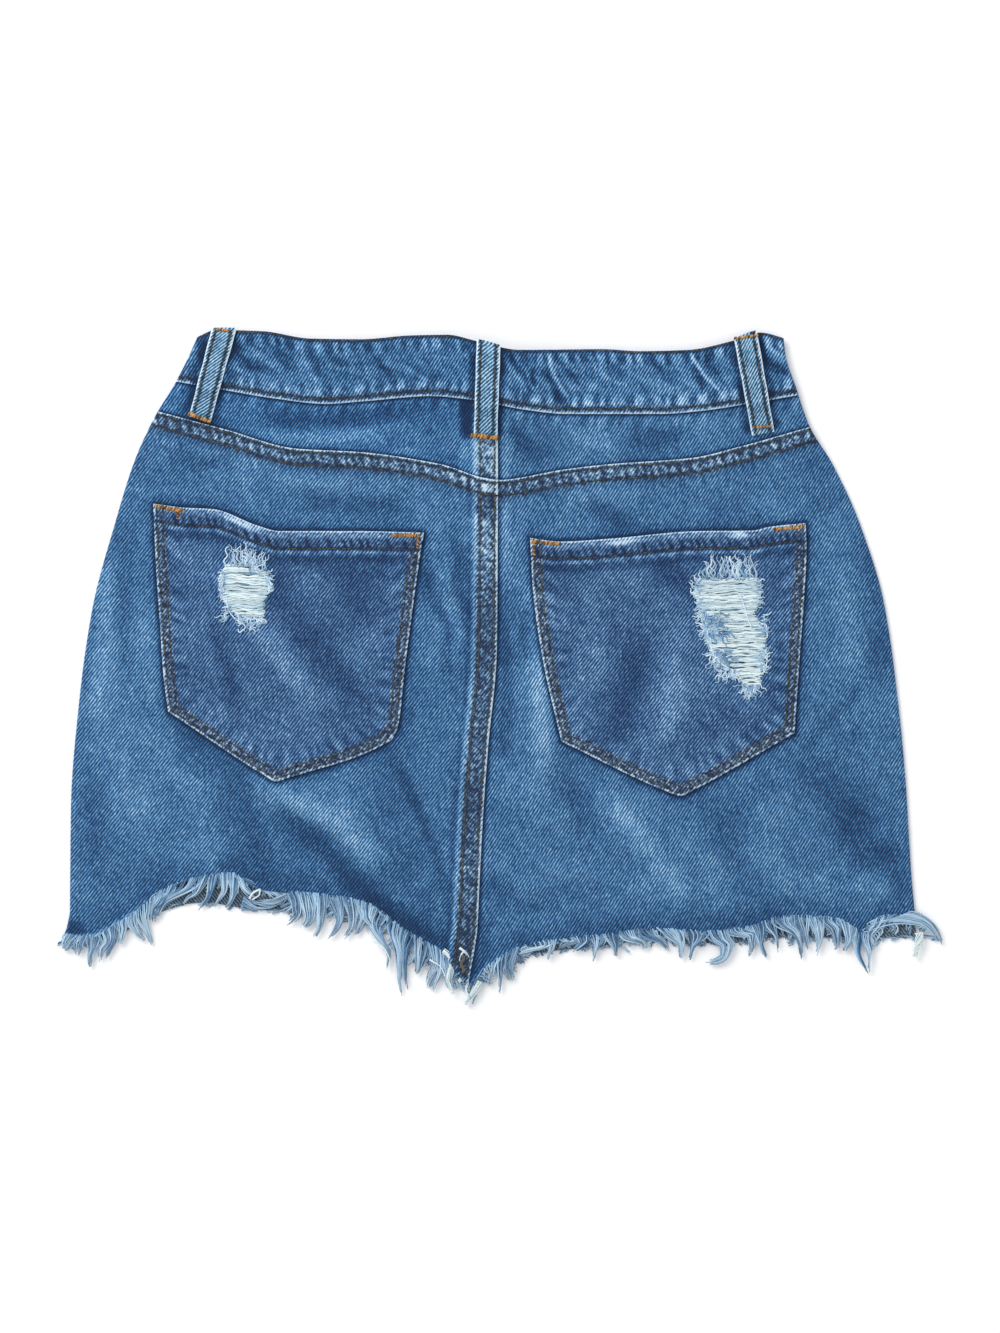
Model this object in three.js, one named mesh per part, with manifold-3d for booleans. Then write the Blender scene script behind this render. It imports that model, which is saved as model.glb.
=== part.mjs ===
// A short A-line denim skirt, lying on its front: the yoke, back pockets and centre-back seam face up.
// Millimetres, +X to the right of the back, +Y to the waist, +Z up from the surface that it lies on.
import * as THREE from "three";
import { mergeVertices } from "three/addons/utils/BufferGeometryUtils.js";
import Module from "manifold-3d";

const wasm = await Module();
wasm.setup();

// Driving dimensions, in millimetres.
const CLOTH = 1.2; // wall of denim
const GAP = 0.3; // between two pieces
const PLY = CLOTH + GAP; // from one layer up to the next
const CLEAR = 0.4; // sideways clearance at the edge of a layer
const RAMP = 3; // run over which a layer climbs one ply
const BAND = 2 * CLOTH + GAP; // folded waistband
const BAND_LIP = 8; // depth of the seam tucked into the waistband
const BAND_STEP = 2; // run of the step inside the waistband
const YOKE_LAP = 10; // width of the felled yoke seam
const CENTRE_LAP = 12.5; // width of the felled centre-back seam
const FRONT_DROP = 5; // the front waist lies this much lower than the back
const SIDE_ROUND = 1.6; // run over which a wall is rounded down at the side seam
const SIDE_THIN = 0.35; // share of the wall left at the very edge
const LOFT = 1.6; // how far the back stands off the front
const LOFT_REACH = 26;
const FLY_EDGE = 8; // x of the edge of the left front, which laps outside
const FLY_UNDER = -27; // x of the edge of the right front, under it
const FLY_RAMP = 8;
const FLY_BELL = 50; // run over which the back settles beside the fly
const WAIST_RISE = 45; // run over which the back climbs on to the front waistband

const BUTTON = { x: -9.5, fromTop: 16, radius: 8.5, cap: 2.6, shank: 2.2, rivet: 4.5, rivetHeight: 0.7 };
const BUTTON_HOLE = BUTTON.shank + CLEAR;
const BUTTON_LIFT = BUTTON.cap + GAP;
const BUTTON_BELL = 60;
const LOOP = { width: 14, thick: 1.6, step: 5, hook: 2.4 };
const FRONT_LOOP = { x: 97, below: 18, lift: LOOP.thick + GAP, flatBeside: 17, flatBelow: 24, bell: 45 };
const POCKET_HEM = 9.5; // folded mouth of a pocket
const POCKET_HEM_EXTRA = 0.6;
const POCKET_GAPE = 1.2; // how far the mouth stands off the panel
const STRIP = { wide: 1.8, thick: 0.8, lift: 0.1, gap: 0.6 };
const LOCK = { root: 2.6, tip: 0.9, high: 0.6, tipHigh: 0.4, sunk: 0.9, shortest: 8, sway: 0.5 };
const THREADS = { thin: 0.5, thick: 0.8, pitch: 2.2 };

/** Turns a short table into rows with named columns. */
const table = (columns, ...rows) =>
  rows.map((row) => Object.fromEntries(columns.split(" ").map((name, i) => [name, row[i]])));

// Outline of the skirt, seen from above.
const WAIST_TOP = table("x y",
  [-175, 190.5], [-164, 194.5], [-137, 193.7], [-109, 189.4], [-80, 189], [-50, 191.2], [-30, 191.4],
  [-12, 187.5], [12, 182.6], [60, 183.3], [82, 182.1], [110, 182.8], [135, 187.9], [152, 193], [167, 189.5]);
const WAIST_BOTTOM = table("x y",
  [-187, 164.5], [-162, 160.1], [-130, 154.6], [-100, 151.4], [-80, 152.8], [-40, 155.8], [-15, 153.5],
  [15, 147.9], [38, 145.6], [94, 145.6], [117, 147.3], [150, 152.5], [176, 157]);
const YOKE_SEAM = table("x y",
  [-198, 147.3], [-159, 136.9], [-117, 125.5], [-80, 123.5], [-34, 116.6], [-1, 107.3], [38, 113.4],
  [62, 116.3], [112, 120.1], [141, 127], [181, 138.3]);
const SIDE_LEFT = table("y x",
  [195, -173], [179, -180], [165, -187], [147, -198], [120, -211], [82, -223], [33, -236], [-20, -243.6],
  [-82, -248.5], [-130, -249], [-146, -249.2], [-158, -252.6], [-165, -253.5]);
const SIDE_RIGHT = table("y x",
  [195, 165], [179, 167], [162, 172.5], [138, 181], [117, 194], [82, 210], [36, 224], [-17, 231.7],
  [-68, 236.6], [-120, 239.8], [-146, 242], [-165, 243]);
const CENTRE_BACK = table("y x",
  [194, -1], [107, -0.3], [10, -0.9], [-48, -6], [-84, -8.7], [-126, -11], [-152, -12.2], [-186, -17.7]);
const BACK_HEM = table("x y",
  [-253, -157.5], [-238, -158], [-215, -147], [-194, -131], [-178, -125], [-156, -121.5], [-142, -130],
  [-100, -134.5], [-78, -138.5], [-52, -156], [-33, -167], [-17.7, -185], [-5, -174.5], [17, -163],
  [60, -157.5], [90, -154], [123, -155.5], [145, -152.8], [168, -146.4], [195, -148], [213, -156.6],
  [221, -147], [243, -145.6]);
const FRONT_HEM = table("x y",
  [-253, -161], [-225, -158.3], [-200, -145], [-173, -138], [-136, -142.5], [-100, -141], [-80, -144.5],
  [-43, -166], [-16, -176], [18, -168], [53, -164], [94, -160], [128, -161.8], [163, -158.3], [243, -158.5]);

// Five-sided pockets.
const POCKET_LEFT = {
  top: table("x y", [-200.5, 93.7], [-182, 91.3], [-166, 90.5], [-140, 81], [-127, 77.7], [-82, 77.7], [-43, 76.8]),
  left: table("y x", [94, -200.5], [55.7, -198.8], [21.5, -196.4], [-5.8, -194.6], [-27, -191.9]),
  right: table("y x", [77, -43.2], [65, -45.2], [32.7, -49.8], [-1.7, -54.3], [-36, -58.3], [-44, -62]),
  bottom: table("x y", [-192, -27], [-136, -64], [-129.4, -67.6], [-122, -65.5], [-62, -43.5], [-58, -36]),
};
const POCKET_RIGHT = {
  top: table("x y", [18.3, 73.7], [36, 71.6], [62, 73.1], [117, 77.7], [147, 78], [158, 80.3], [178.3, 82.4]),
  left: table("y x", [74, 18.3], [43.5, 20], [4.6, 25.4], [-44.5, 36.5]),
  right: table("y x", [82.4, 178.3], [69.6, 178.9], [37.7, 177.4], [9.9, 175.3], [-39.4, 171.9]),
  bottom: table("x y", [36.5, -44.5], [98, -73.5], [105.8, -76], [113.5, -72.5], [172, -39.4]),
};
const RIP_LEFT = table("x y",
  [-156, 59], [-147, 59], [-135, 53.5], [-134.5, 45], [-138, 37], [-138, 27], [-150, 27.5], [-159, 38], [-160.5, 50]);
const RIP_RIGHT = table("x y",
  [119, 50.5], [149, 51], [150, 35], [146.5, 30], [152.8, 20], [153.5, 7], [150, -11.5], [146, -14.5],
  [138, -4], [129, -1.5], [122, 14], [119, 31], [115, 42]);

// Ridges and troughs that the back keeps as it lies: a line from (x1, y1) to (x2, y2), its height and its reach.
const FOLDS = table("x1 y1 x2 y2 height reach",
  [-144, -66, -78, -104, 1.5, 36],
  [-132, -86, -28, -160, -1.3, 38],
  [-198, -32, -142, -122, -1.0, 36],
  [-130, 56, -69, -29, -1.0, 38],
  [10, 63, 20, -76, 1.2, 36],
  [61, -77, 108, -134, 1.2, 36],
  [38, -66, 54, -94, -0.9, 34],
  [184, -60, 217, -117, -1.1, 38],
  [80, 55, 76, -20, -0.8, 40]);

// Belt loops on the back, from the tack on the yoke to the waist.
const BACK_LOOPS = table("name x1 y1 x2 y2",
  ["belt_loop_back_left", -173.4, 142.6, -159.7, 193],
  ["belt_loop_back_centre", -7.6, 131, -5.8, 185.2],
  ["belt_loop_back_right", 153.6, 134, 143.4, 190.2]);

// How low the fringe hangs along the hem, and how far its tips lean to the right.
const FRINGE_REACH = table("x y",
  [-256, -163], [-251, -170], [-236, -174], [-229, -171.5], [-208, -158], [-202, -163], [-187, -139],
  [-144, -142], [-121, -152], [-108, -158.5], [-83, -159.5], [-66, -177], [-55, -190], [-41, -187],
  [-27, -191], [-17, -196.6], [-7, -184], [1, -190], [8, -184], [29, -168.5], [60, -171], [108, -171.5],
  [123, -168], [145, -169.5], [177, -171], [201, -167], [213, -178.5], [219, -168], [243, -165]);
const FRINGE_LEAN = table("x lean",
  [-252, -3.5], [-215, -5], [-190, 2], [-150, 1], [-120, 3], [-65, -1], [-40, 3], [-18, 1.5], [10, 2],
  [60, -1], [120, 0], [200, 2.5], [228, 4], [241, 14]);
const LOCK_LENGTHS = [1, 0.78, 0.92, 0.66, 0.97, 0.84, 0.72];
const BACK_LOCK_PITCH = 4.2;
const FRONT_LOCK_PITCH = 7.5;

const clamp = (value) => Math.min(1, Math.max(0, value));
/** 0 up to `from`, 1 past `to`, straight between them. */
const ramp = (value, from, to) => clamp((value - from) / (to - from));
/** The same with soft ends. */
const ease = (value, from, to) => THREE.MathUtils.smoothstep(value, from, to);
/** 1 at no distance, sinking to 0 at `reach` along a cosine. */
const bell = (distance, reach) => 0.5 + 0.5 * Math.cos(Math.PI * clamp(distance / reach));

/** A smooth line through the rows, with no overshoot: column `wanted` as a function of column `known`. */
function line(rows, known, wanted) {
  const sorted = [...rows].sort((a, b) => a[known] - b[known]);
  const at = sorted.map((row) => row[known]);
  const value = sorted.map((row) => row[wanted]);
  const rise = at.slice(1).map((end, i) => (value[i + 1] - value[i]) / (end - at[i]));
  const slope = at.map((_, i) => {
    const before = rise[Math.max(0, i - 1)];
    const after = rise[Math.min(rise.length - 1, i)];
    return before * after > 0 ? (2 * before * after) / (before + after) : 0;
  });
  return (where) => {
    const last = at.length - 1;
    if (where <= at[0]) return value[0] + slope[0] * (where - at[0]);
    if (where >= at[last]) return value[last] + slope[last] * (where - at[last]);
    const i = at.findIndex((end, k) => k > 0 && where <= end) - 1;
    const run = at[i + 1] - at[i];
    const t = (where - at[i]) / run;
    const u = 1 - t;
    return value[i] * (1 + 2 * t) * u * u + slope[i] * run * t * u * u +
      value[i + 1] * (3 - 2 * t) * t * t - slope[i + 1] * run * t * t * u;
  };
}

const waistTop = line(WAIST_TOP, "x", "y");
const waistBottom = line(WAIST_BOTTOM, "x", "y");
const yokeSeam = line(YOKE_SEAM, "x", "y");
const sideLeft = line(SIDE_LEFT, "y", "x");
const sideRight = line(SIDE_RIGHT, "y", "x");
const centreBack = line(CENTRE_BACK, "y", "x");
const backHem = line(BACK_HEM, "x", "y");
const frontHem = line(FRONT_HEM, "x", "y");
const frontWaistTop = (x) => waistTop(x) - FRONT_DROP;
const frontWaistBottom = (x) => waistBottom(x) - FRONT_DROP;
const buttonY = frontWaistTop(BUTTON.x) - BUTTON.fromTop;

/** Distance from a spot to the line from (x1, y1) to (x2, y2). */
function distanceTo({ x1, y1, x2, y2 }, x, y) {
  const along = clamp(((x - x1) * (x2 - x1) + (y - y1) * (y2 - y1)) / ((x2 - x1) ** 2 + (y2 - y1) ** 2));
  return Math.hypot(x - x1 - along * (x2 - x1), y - y1 - along * (y2 - y1));
}

/** How far a spot lies inside the side seams. */
const insideSides = (x, y) => Math.max(0, Math.min(x - sideLeft(y), sideRight(y) - x));
/** Thickness of a wall at a spot: rounded down at the side seams. */
function rounded(thickness, x, y) {
  const away = 1 - clamp(insideSides(x, y) / SIDE_ROUND);
  return thickness * (SIDE_THIN + (1 - SIDE_THIN) * Math.sqrt(1 - away * away));
}

/** The floor's clearance under the front: the button and the two front belt loops hold it up. */
function frontLift(x, y) {
  const button = bell(Math.max(0, Math.hypot(x - BUTTON.x, y - buttonY) - BUTTON.radius), BUTTON_BELL);
  const beside = Math.max(0, Math.abs(Math.abs(x) - FRONT_LOOP.x) - FRONT_LOOP.flatBeside);
  const below = Math.max(0, frontWaistBottom(x) - FRONT_LOOP.flatBelow - y);
  const loop = bell(Math.hypot(beside, below), FRONT_LOOP.bell);
  return Math.max(BUTTON_LIFT * button, FRONT_LOOP.lift * loop);
}

/** Underside of the lowest layer of the back: over the front's layers, then the loft and folds. */
function backBase(x, y) {
  const onWaist = ease(y, waistBottom(x) - BAND_LIP - CLEAR - WAIST_RISE, waistBottom(x) - BAND_LIP - CLEAR);
  const onFly = bell(Math.max(0, FLY_UNDER - x, x - FLY_EDGE - FLY_RAMP), FLY_BELL);
  const onRivet = bell(Math.max(0, Math.hypot(x - BUTTON.x, y - buttonY) - BUTTON.radius), BUTTON_BELL);
  const loft = LOFT * (1 - Math.exp(-insideSides(x, y) / LOFT_REACH));
  const folds = FOLDS.reduce((sum, fold) => sum + fold.height * bell(distanceTo(fold, x, y), fold.reach), 0);
  return PLY + PLY * onWaist + PLY * onFly * (1 + onWaist) + (BUTTON.rivetHeight + GAP) * onRivet +
    frontLift(x, y) + Math.max(0, loft + folds * clamp(insideSides(x, y) / LOFT_REACH)) * (1 - onWaist);
}

/** 1 from the hidden edge of the centre-back lap to the right, 0 to the left of it. */
function overCentre(x, y) {
  const hidden = centreBack(y) - CENTRE_LAP - CLEAR;
  return ramp(x, hidden - RAMP, hidden);
}
/** 1 on the centre-back lap, 0 away from it. */
function onCentreLap(x, y) {
  const edge = centreBack(y) + CLEAR;
  return Math.min(overCentre(x, y), 1 - ramp(x, edge, edge + RAMP));
}
/** 1 where the panel's top edge lies on the yoke, 0 below it. */
function overYoke(x, y) {
  const hidden = yokeSeam(x) - YOKE_LAP - CLEAR;
  return ramp(y, hidden - RAMP, hidden);
}
/** 1 where the waistband lies on the tucked seam, 0 above it. */
const overTuck = (x, y) => 1 - ramp(y - waistBottom(x), BAND_LIP + CLEAR, BAND_LIP + CLEAR + BAND_STEP);

/** Undersides of the back's pieces: the base, and a ply for each layer beneath. */
const under = {
  yokeLeft: (x, y) => backBase(x, y) + PLY * overCentre(x, y),
  yokeRight: (x, y) => backBase(x, y),
  backLeft: (x, y) => backBase(x, y) + PLY * (overYoke(x, y) * (1 + onCentreLap(x, y)) + overCentre(x, y)),
  backRight: (x, y) => backBase(x, y) + PLY * overYoke(x, y) * (1 + onCentreLap(x, y)),
  waistband: (x, y) => backBase(x, y) + PLY * overTuck(x, y) * (1 + onCentreLap(x, y)),
};
/** Upper face of the back waistband: flat but for the lump where the centre-back lap runs into it. */
function waistbandTop(x, y) {
  const lump = 1 - ease(y - waistBottom(x), BAND_LIP + CLEAR + BAND_STEP, BAND_LIP + CLEAR + 2 * BAND_LIP);
  return backBase(x, y) + rounded(BAND, x, y) + PLY * onCentreLap(x, y) * lump;
}
const topOf = (underside) => (x, y) => underside(x, y) + rounded(CLOTH, x, y);

/** Upper face of the skirt's back at a spot, before pockets and belt loops. */
function skin(x, y) {
  const left = x < centreBack(y);
  if (y > waistBottom(x)) return waistbandTop(x, y);
  if (y > yokeSeam(x)) return (left ? under.yokeLeft : under.yokeRight)(x, y) + CLOTH;
  return (left ? under.backLeft : under.backRight)(x, y) + CLOTH;
}

/** Lines near one edge, then even ones, then lines near the other edge: functions of the other coordinate. */
function lines(first, last, nearFirst, even, nearLast) {
  const start = nearFirst.at(-1);
  const end = nearLast.at(-1);
  const share = (k) => (at) =>
    THREE.MathUtils.lerp(first(at) + Math.sign(last(at) - first(at)) * start,
      last(at) - Math.sign(last(at) - first(at)) * end, (k + 1) / (even + 1));
  const inward = (from, to, distance) => (at) => from(at) + Math.sign(to(at) - from(at)) * distance;
  return [
    ...nearFirst.map((distance) => inward(first, last, distance)),
    ...Array.from({ length: even }, (_, k) => share(k)),
    ...nearLast.map((distance) => inward(last, first, distance)).reverse(),
  ];
}

/** Where a column, x as a function of y, crosses a row, y as a function of x. */
function crossing(column, row) {
  let x = column(0);
  let y = row(x);
  for (let i = 0; i < 40; i++) {
    x = column(y);
    y = row(x);
  }
  return { x, y };
}

/** Closed wall over a grid of columns (left to right) and rows (top to bottom), between two height functions. */
function wall(columns, rows, underside, upperside) {
  const spots = rows.flatMap((row) => columns.map((column) => crossing(column, row)));
  const heights = [underside, upperside];
  const points = heights.flatMap((height) => spots.map(({ x, y }) => [x, y, height(x, y)]));
  const across = columns.length;
  const top = spots.length;
  const faces = [];
  for (let r = 0; r < rows.length - 1; r++) {
    for (let c = 0; c < across - 1; c++) {
      const a = r * across + c;
      const b = a + across;
      faces.push([a, b + 1, b], [a, a + 1, b + 1]);
      faces.push([top + a, top + b, top + b + 1], [top + a, top + b + 1, top + a + 1]);
    }
  }
  const down = rows.map((_, r) => r * across);
  const bottomRow = (rows.length - 1) * across;
  const rim = [
    ...down,
    ...columns.slice(1).map((_, c) => bottomRow + c + 1),
    ...down.slice(0, -1).reverse().map((start) => start + across - 1),
    ...columns.slice(1, -1).map((_, c) => across - 2 - c),
  ];
  rim.forEach((p, i) => {
    const q = rim[(i + 1) % rim.length];
    faces.push([p, q, top + q], [p, top + q, top + p]);
  });
  return indexed(points.flat(), faces.flat());
}

function indexed(vertices, faces) {
  const geometry = new THREE.BufferGeometry();
  geometry.setAttribute("position", new THREE.Float32BufferAttribute(vertices, 3));
  geometry.setIndex(faces);
  return geometry;
}

/** A geometry as a manifold solid, and back. */
function solid(geometry) {
  const bare = new THREE.BufferGeometry().setAttribute("position", geometry.getAttribute("position"));
  bare.setIndex(geometry.index);
  const merged = mergeVertices(bare, 1e-4);
  return new wasm.Manifold(new wasm.Mesh({
    numProp: 3,
    vertProperties: merged.attributes.position.array,
    triVerts: new Uint32Array(merged.index.array),
  }));
}
function geometryOf(manifold) {
  const { vertProperties, triVerts } = manifold.getMesh();
  return indexed(Array.from(vertProperties), Array.from(triVerts));
}

/** Upright prism through everything over an outline. */
function prism(outline) {
  const shape = new THREE.Shape(outline.map(({ x, y }) => new THREE.Vector2(x, y)));
  const cut = new THREE.ExtrudeGeometry(shape, { depth: 40, bevelEnabled: false });
  return solid(cut.translate(0, 0, -10));
}

/** The outline moved inwards by a distance, corner by corner. */
function inset(outline, distance) {
  const turn = Math.sign(THREE.ShapeUtils.area(outline));
  return outline.map((here, i) => {
    const before = outline.at(i - 1);
    const after = outline[(i + 1) % outline.length];
    const normals = [[before, here], [here, after]].map(([a, b]) =>
      new THREE.Vector2(a.y - b.y, b.x - a.x).normalize().multiplyScalar(turn));
    const middle = normals[0].clone().add(normals[1]).normalize();
    return middle.multiplyScalar(distance / middle.dot(normals[0])).add(here);
  });
}

const skirt = new THREE.Group();
const DENIM = { color: 0x7d95a8, roughness: 0.9, metalness: 0 };
const FRAYED = { color: 0xaebfca, roughness: 0.95, metalness: 0 };
const WEFT = { color: 0xd9dccf, roughness: 0.95, metalness: 0 };
const BRASS = { color: 0xa98b56, roughness: 0.4, metalness: 1 };
function add(name, geometry, finish) {
  const mesh = new THREE.Mesh(geometry, new THREE.MeshStandardMaterial(finish));
  mesh.name = name;
  skirt.add(mesh);
}

// Columns that all pieces of one half share, so that layers that lie on each other have the same facets.
const NEAR_SIDE = [0, 0.5, SIDE_ROUND, 5];
const NEAR_LAP = [0, CENTRE_LAP + CLEAR, CENTRE_LAP + CLEAR + RAMP];
const hiddenCentre = (y) => centreBack(y) - CENTRE_LAP;
const leftColumns = lines(sideLeft, centreBack, NEAR_SIDE, 13, NEAR_LAP);
const rightColumns = lines(hiddenCentre, sideRight, NEAR_LAP, 13, NEAR_SIDE);

// Back waistband, folded over the top edge of the yoke.
const NEAR_BAND_SEAM = [0, BAND_LIP + CLEAR, BAND_LIP + CLEAR + BAND_STEP];
const bandColumns = [...leftColumns.slice(0, -1), ...rightColumns.slice(1)];
add("waistband_back",
  wall(bandColumns, lines(waistTop, waistBottom, [0], 2, NEAR_BAND_SEAM), under.waistband, waistbandTop), DENIM);

// Yoke halves, tucked under the waistband and under the panels.
const yokeRows = lines((x) => waistBottom(x) + BAND_LIP, (x) => yokeSeam(x) - YOKE_LAP, [0], 3, [0, YOKE_LAP]);
add("yoke_left", wall(leftColumns, yokeRows, under.yokeLeft, topOf(under.yokeLeft)), DENIM);
add("yoke_right", wall(rightColumns, yokeRows, under.yokeRight, topOf(under.yokeRight)), DENIM);

// Back panels.
const NEAR_YOKE = [0, YOKE_LAP + CLEAR, YOKE_LAP + CLEAR + RAMP];
const backRows = lines(yokeSeam, backHem, NEAR_YOKE, 14, [0]);
add("back_left", wall(leftColumns, backRows, under.backLeft, topOf(under.backLeft)), DENIM);
add("back_right", wall(rightColumns, backRows, under.backRight, topOf(under.backRight)), DENIM);

// Patch pockets: the panel's own points moved out, a folded mouth, and a worn hole bridged by bare weft.
function pocket(side, edges, rip) {
  const [top, left, right, bottom] = [
    line(edges.top, "x", "y"), line(edges.left, "y", "x"), line(edges.right, "y", "x"), line(edges.bottom, "x", "y"),
  ];
  const underside = (x, y) => {
    const across = clamp((x - left(y)) / (right(y) - left(y)));
    const gape = POCKET_GAPE * Math.sin(Math.PI * across) ** 2 * bell(top(x) - y, 4 * POCKET_HEM);
    return skin(x, y) + GAP + gape;
  };
  const upperside = (x, y) =>
    underside(x, y) + CLOTH + POCKET_HEM_EXTRA * (1 - ramp(top(x) - y, POCKET_HEM, POCKET_HEM + BAND_STEP));
  const cloth = wall(
    lines(left, right, [0], 12, [0]),
    lines(top, bottom, [0, POCKET_HEM, POCKET_HEM + BAND_STEP], 11, [0]),
    underside, upperside);
  add(`pocket_${side}`, geometryOf(solid(cloth).subtract(prism(rip))), DENIM);

  const box = new THREE.Box2().setFromPoints(rip);
  const count = Math.round((box.max.y - box.min.y) / THREADS.pitch);
  const rowStep = (box.max.y - box.min.y) / count;
  const ribTop = (x, y) => {
    const row = Math.round((box.max.y - y) / rowStep);
    return underside(x, y) + (row % 2 ? THREADS.thin : THREADS.thick);
  };
  const threads = wall(
    lines(() => box.min.x, () => box.max.x, [0], 2, [0]),
    lines(() => box.max.y, () => box.min.y, [0], count - 1, [0]),
    underside, ribTop);
  add(`rip_threads_${side}`, geometryOf(solid(threads).intersect(prism(inset(rip, CLEAR)))), WEFT);
}
pocket("left", POCKET_LEFT, RIP_LEFT);
pocket("right", POCKET_RIGHT, RIP_RIGHT);

/** Belt loop: a side profile along the strip, extruded over its width. */
function beltLoop(name, from, to, profile) {
  const shape = new THREE.Shape(profile.map(([s, z]) => new THREE.Vector2(s, z)));
  const strip = new THREE.ExtrudeGeometry(shape, { depth: LOOP.width, bevelEnabled: false });
  const along = new THREE.Vector3(to.x - from.x, to.y - from.y, 0).normalize();
  const up = new THREE.Vector3(0, 0, 1);
  const across = along.clone().cross(up);
  const place = new THREE.Matrix4().makeBasis(along, up, across);
  const corner = new THREE.Vector3(from.x, from.y, 0).addScaledVector(across, -LOOP.width / 2);
  strip.applyMatrix4(place.setPosition(corner));
  add(name, strip, DENIM);
}

/** Side profile of a loop that lies on given heights and hooks over the waist edge. */
function hookedProfile(heights, length) {
  const step = length / (heights.length - 1);
  const low = heights.map((z, i) => [i * step, z]);
  const high = heights.map((z, i) => [i * step, z + LOOP.thick]).reverse();
  const end = heights.at(-1);
  const outside = length + CLEAR + LOOP.thick;
  return [
    ...low,
    [length + CLEAR, end - CLEAR],
    [length + CLEAR, end - LOOP.hook],
    [outside, end - LOOP.hook],
    [outside, end + LOOP.thick / 2],
    [length + LOOP.thick / 2, end + LOOP.thick],
    ...high.slice(1),
  ];
}

for (const { name, x1, y1, x2, y2 } of BACK_LOOPS) {
  const slant = Math.hypot(x2 - x1, y2 - y1);
  const [ux, uy] = [(x2 - x1) / slant, (y2 - y1) / slant];
  const spot = (along, aside) => ({ x: x1 + ux * along + uy * aside, y: y1 + uy * along - ux * aside });
  const sides = Array.from({ length: 9 }, (_, i) => ((i - 4) / 4) * (LOOP.width / 2));
  let length = slant;
  while (sides.some((aside) => spot(length, aside).y < waistTop(spot(length, aside).x))) length += 0.1;
  const count = Math.round(length / LOOP.step);
  /** Highest skin under the strip within one step of a station. */
  const height = (station) => {
    let highest = 0;
    for (let s = -1; s <= 1; s += 0.2) {
      for (const aside of sides) {
        const { x, y } = spot(Math.min(length, ((station + s) * length) / count), aside);
        highest = Math.max(highest, skin(x, Math.min(y, waistTop(x))));
      }
    }
    return highest + GAP;
  };
  const heights = Array.from({ length: count + 1 }, (_, station) => height(station));
  beltLoop(name, spot(0, 0), spot(length, 0), hookedProfile(heights, length));
}

// Front panels and waistband halves, face down and plain.
const NEAR_FRONT_SIDE = [0, 0.6, 2];
const FLY_LAP = FLY_EDGE - FLY_UNDER;
const NEAR_FLY = [0, FLY_LAP / 3, (2 * FLY_LAP) / 3, FLY_LAP + CLEAR, FLY_LAP + CLEAR + FLY_RAMP];
const frontLeftColumns = lines(sideLeft, () => FLY_EDGE, NEAR_FRONT_SIDE, 12, [0]);
const frontRightColumns = lines(() => FLY_UNDER, sideRight, NEAR_FLY, 11, NEAR_FRONT_SIDE);
const overBandLip = (x, y) => ramp(y - frontWaistBottom(x), -CLEAR - RAMP, -CLEAR);
const onFlyLap = (x) => 1 - ramp(x, FLY_EDGE + CLEAR, FLY_EDGE + CLEAR + FLY_RAMP);
const frontTuck = (x, y) => ramp(y - frontWaistBottom(x), BAND_LIP + CLEAR, BAND_LIP + CLEAR + BAND_STEP);
const frontUnder = {
  left: (x, y) => frontLift(x, y) + PLY * overBandLip(x, y),
  right: (x, y) => frontLift(x, y) + PLY * (onFlyLap(x) * (1 + overBandLip(x, y)) + overBandLip(x, y)),
  bandLeft: (x, y) => frontLift(x, y),
  bandRight: (x, y) => frontLift(x, y) + 2 * PLY * onFlyLap(x),
};
const bandThickness = (x, y) => THREE.MathUtils.lerp(CLOTH, BAND, frontTuck(x, y));
const frontRows = lines((x) => frontWaistBottom(x) + BAND_LIP, frontHem,
  [0, BAND_LIP + CLEAR, BAND_LIP + CLEAR + RAMP, BAND_LIP + FRONT_LOOP.flatBelow], 5, [0]);
const frontBandRows = lines(frontWaistTop, frontWaistBottom, [0], 2, NEAR_BAND_SEAM);
const holeCutter = new THREE.CylinderGeometry(BUTTON_HOLE, BUTTON_HOLE, 40, 12).rotateX(Math.PI / 2);
const buttonHole = solid(holeCutter.translate(BUTTON.x, buttonY, 0));
for (const [side, columns] of [["left", frontLeftColumns], ["right", frontRightColumns]]) {
  const panel = frontUnder[side];
  add(`front_${side}`, wall(columns, frontRows, panel, (x, y) => panel(x, y) + CLOTH), DENIM);
  const band = side === "left" ? frontUnder.bandLeft : frontUnder.bandRight;
  const strip = wall(columns, frontBandRows, band, (x, y) => band(x, y) + bandThickness(x, y));
  add(`waistband_front_${side}`, geometryOf(solid(strip).subtract(buttonHole)), DENIM);
  const x = side === "left" ? -FRONT_LOOP.x : FRONT_LOOP.x;
  const from = { x, y: frontWaistBottom(x) - FRONT_LOOP.below + CLEAR };
  const to = { x, y: frontWaistTop(x) + 1 };
  const length = to.y - from.y;
  const hook = length + CLEAR + LOOP.thick;
  beltLoop(`belt_loop_front_${side}`, from, to, [
    [0, 0], [hook - 1, 0], [hook, 1], [hook, 2 * LOOP.hook],
    [length + CLEAR, 2 * LOOP.hook], [length + CLEAR, LOOP.thick], [0, LOOP.thick],
  ]);
}

// Jeans button: cap against the floor, shank through both waistband ends, rivet inside.
const rivetFrom = BUTTON_LIFT + 2 * BAND + 2 * GAP;
const button = new THREE.LatheGeometry([
  [0, 0], [BUTTON.radius - 2, 0], [BUTTON.radius - 0.3, 0.8], [BUTTON.radius, 1.6], [BUTTON.radius - 0.5, BUTTON.cap],
  [BUTTON.shank, BUTTON.cap], [BUTTON.shank, rivetFrom], [BUTTON.rivet, rivetFrom],
  [BUTTON.rivet - 0.3, rivetFrom + BUTTON.rivetHeight], [0, rivetFrom + BUTTON.rivetHeight],
].map(([r, z]) => new THREE.Vector2(r, z)), 24);
add("button", button.rotateX(Math.PI / 2).translate(BUTTON.x, buttonY, 0), BRASS);

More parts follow.
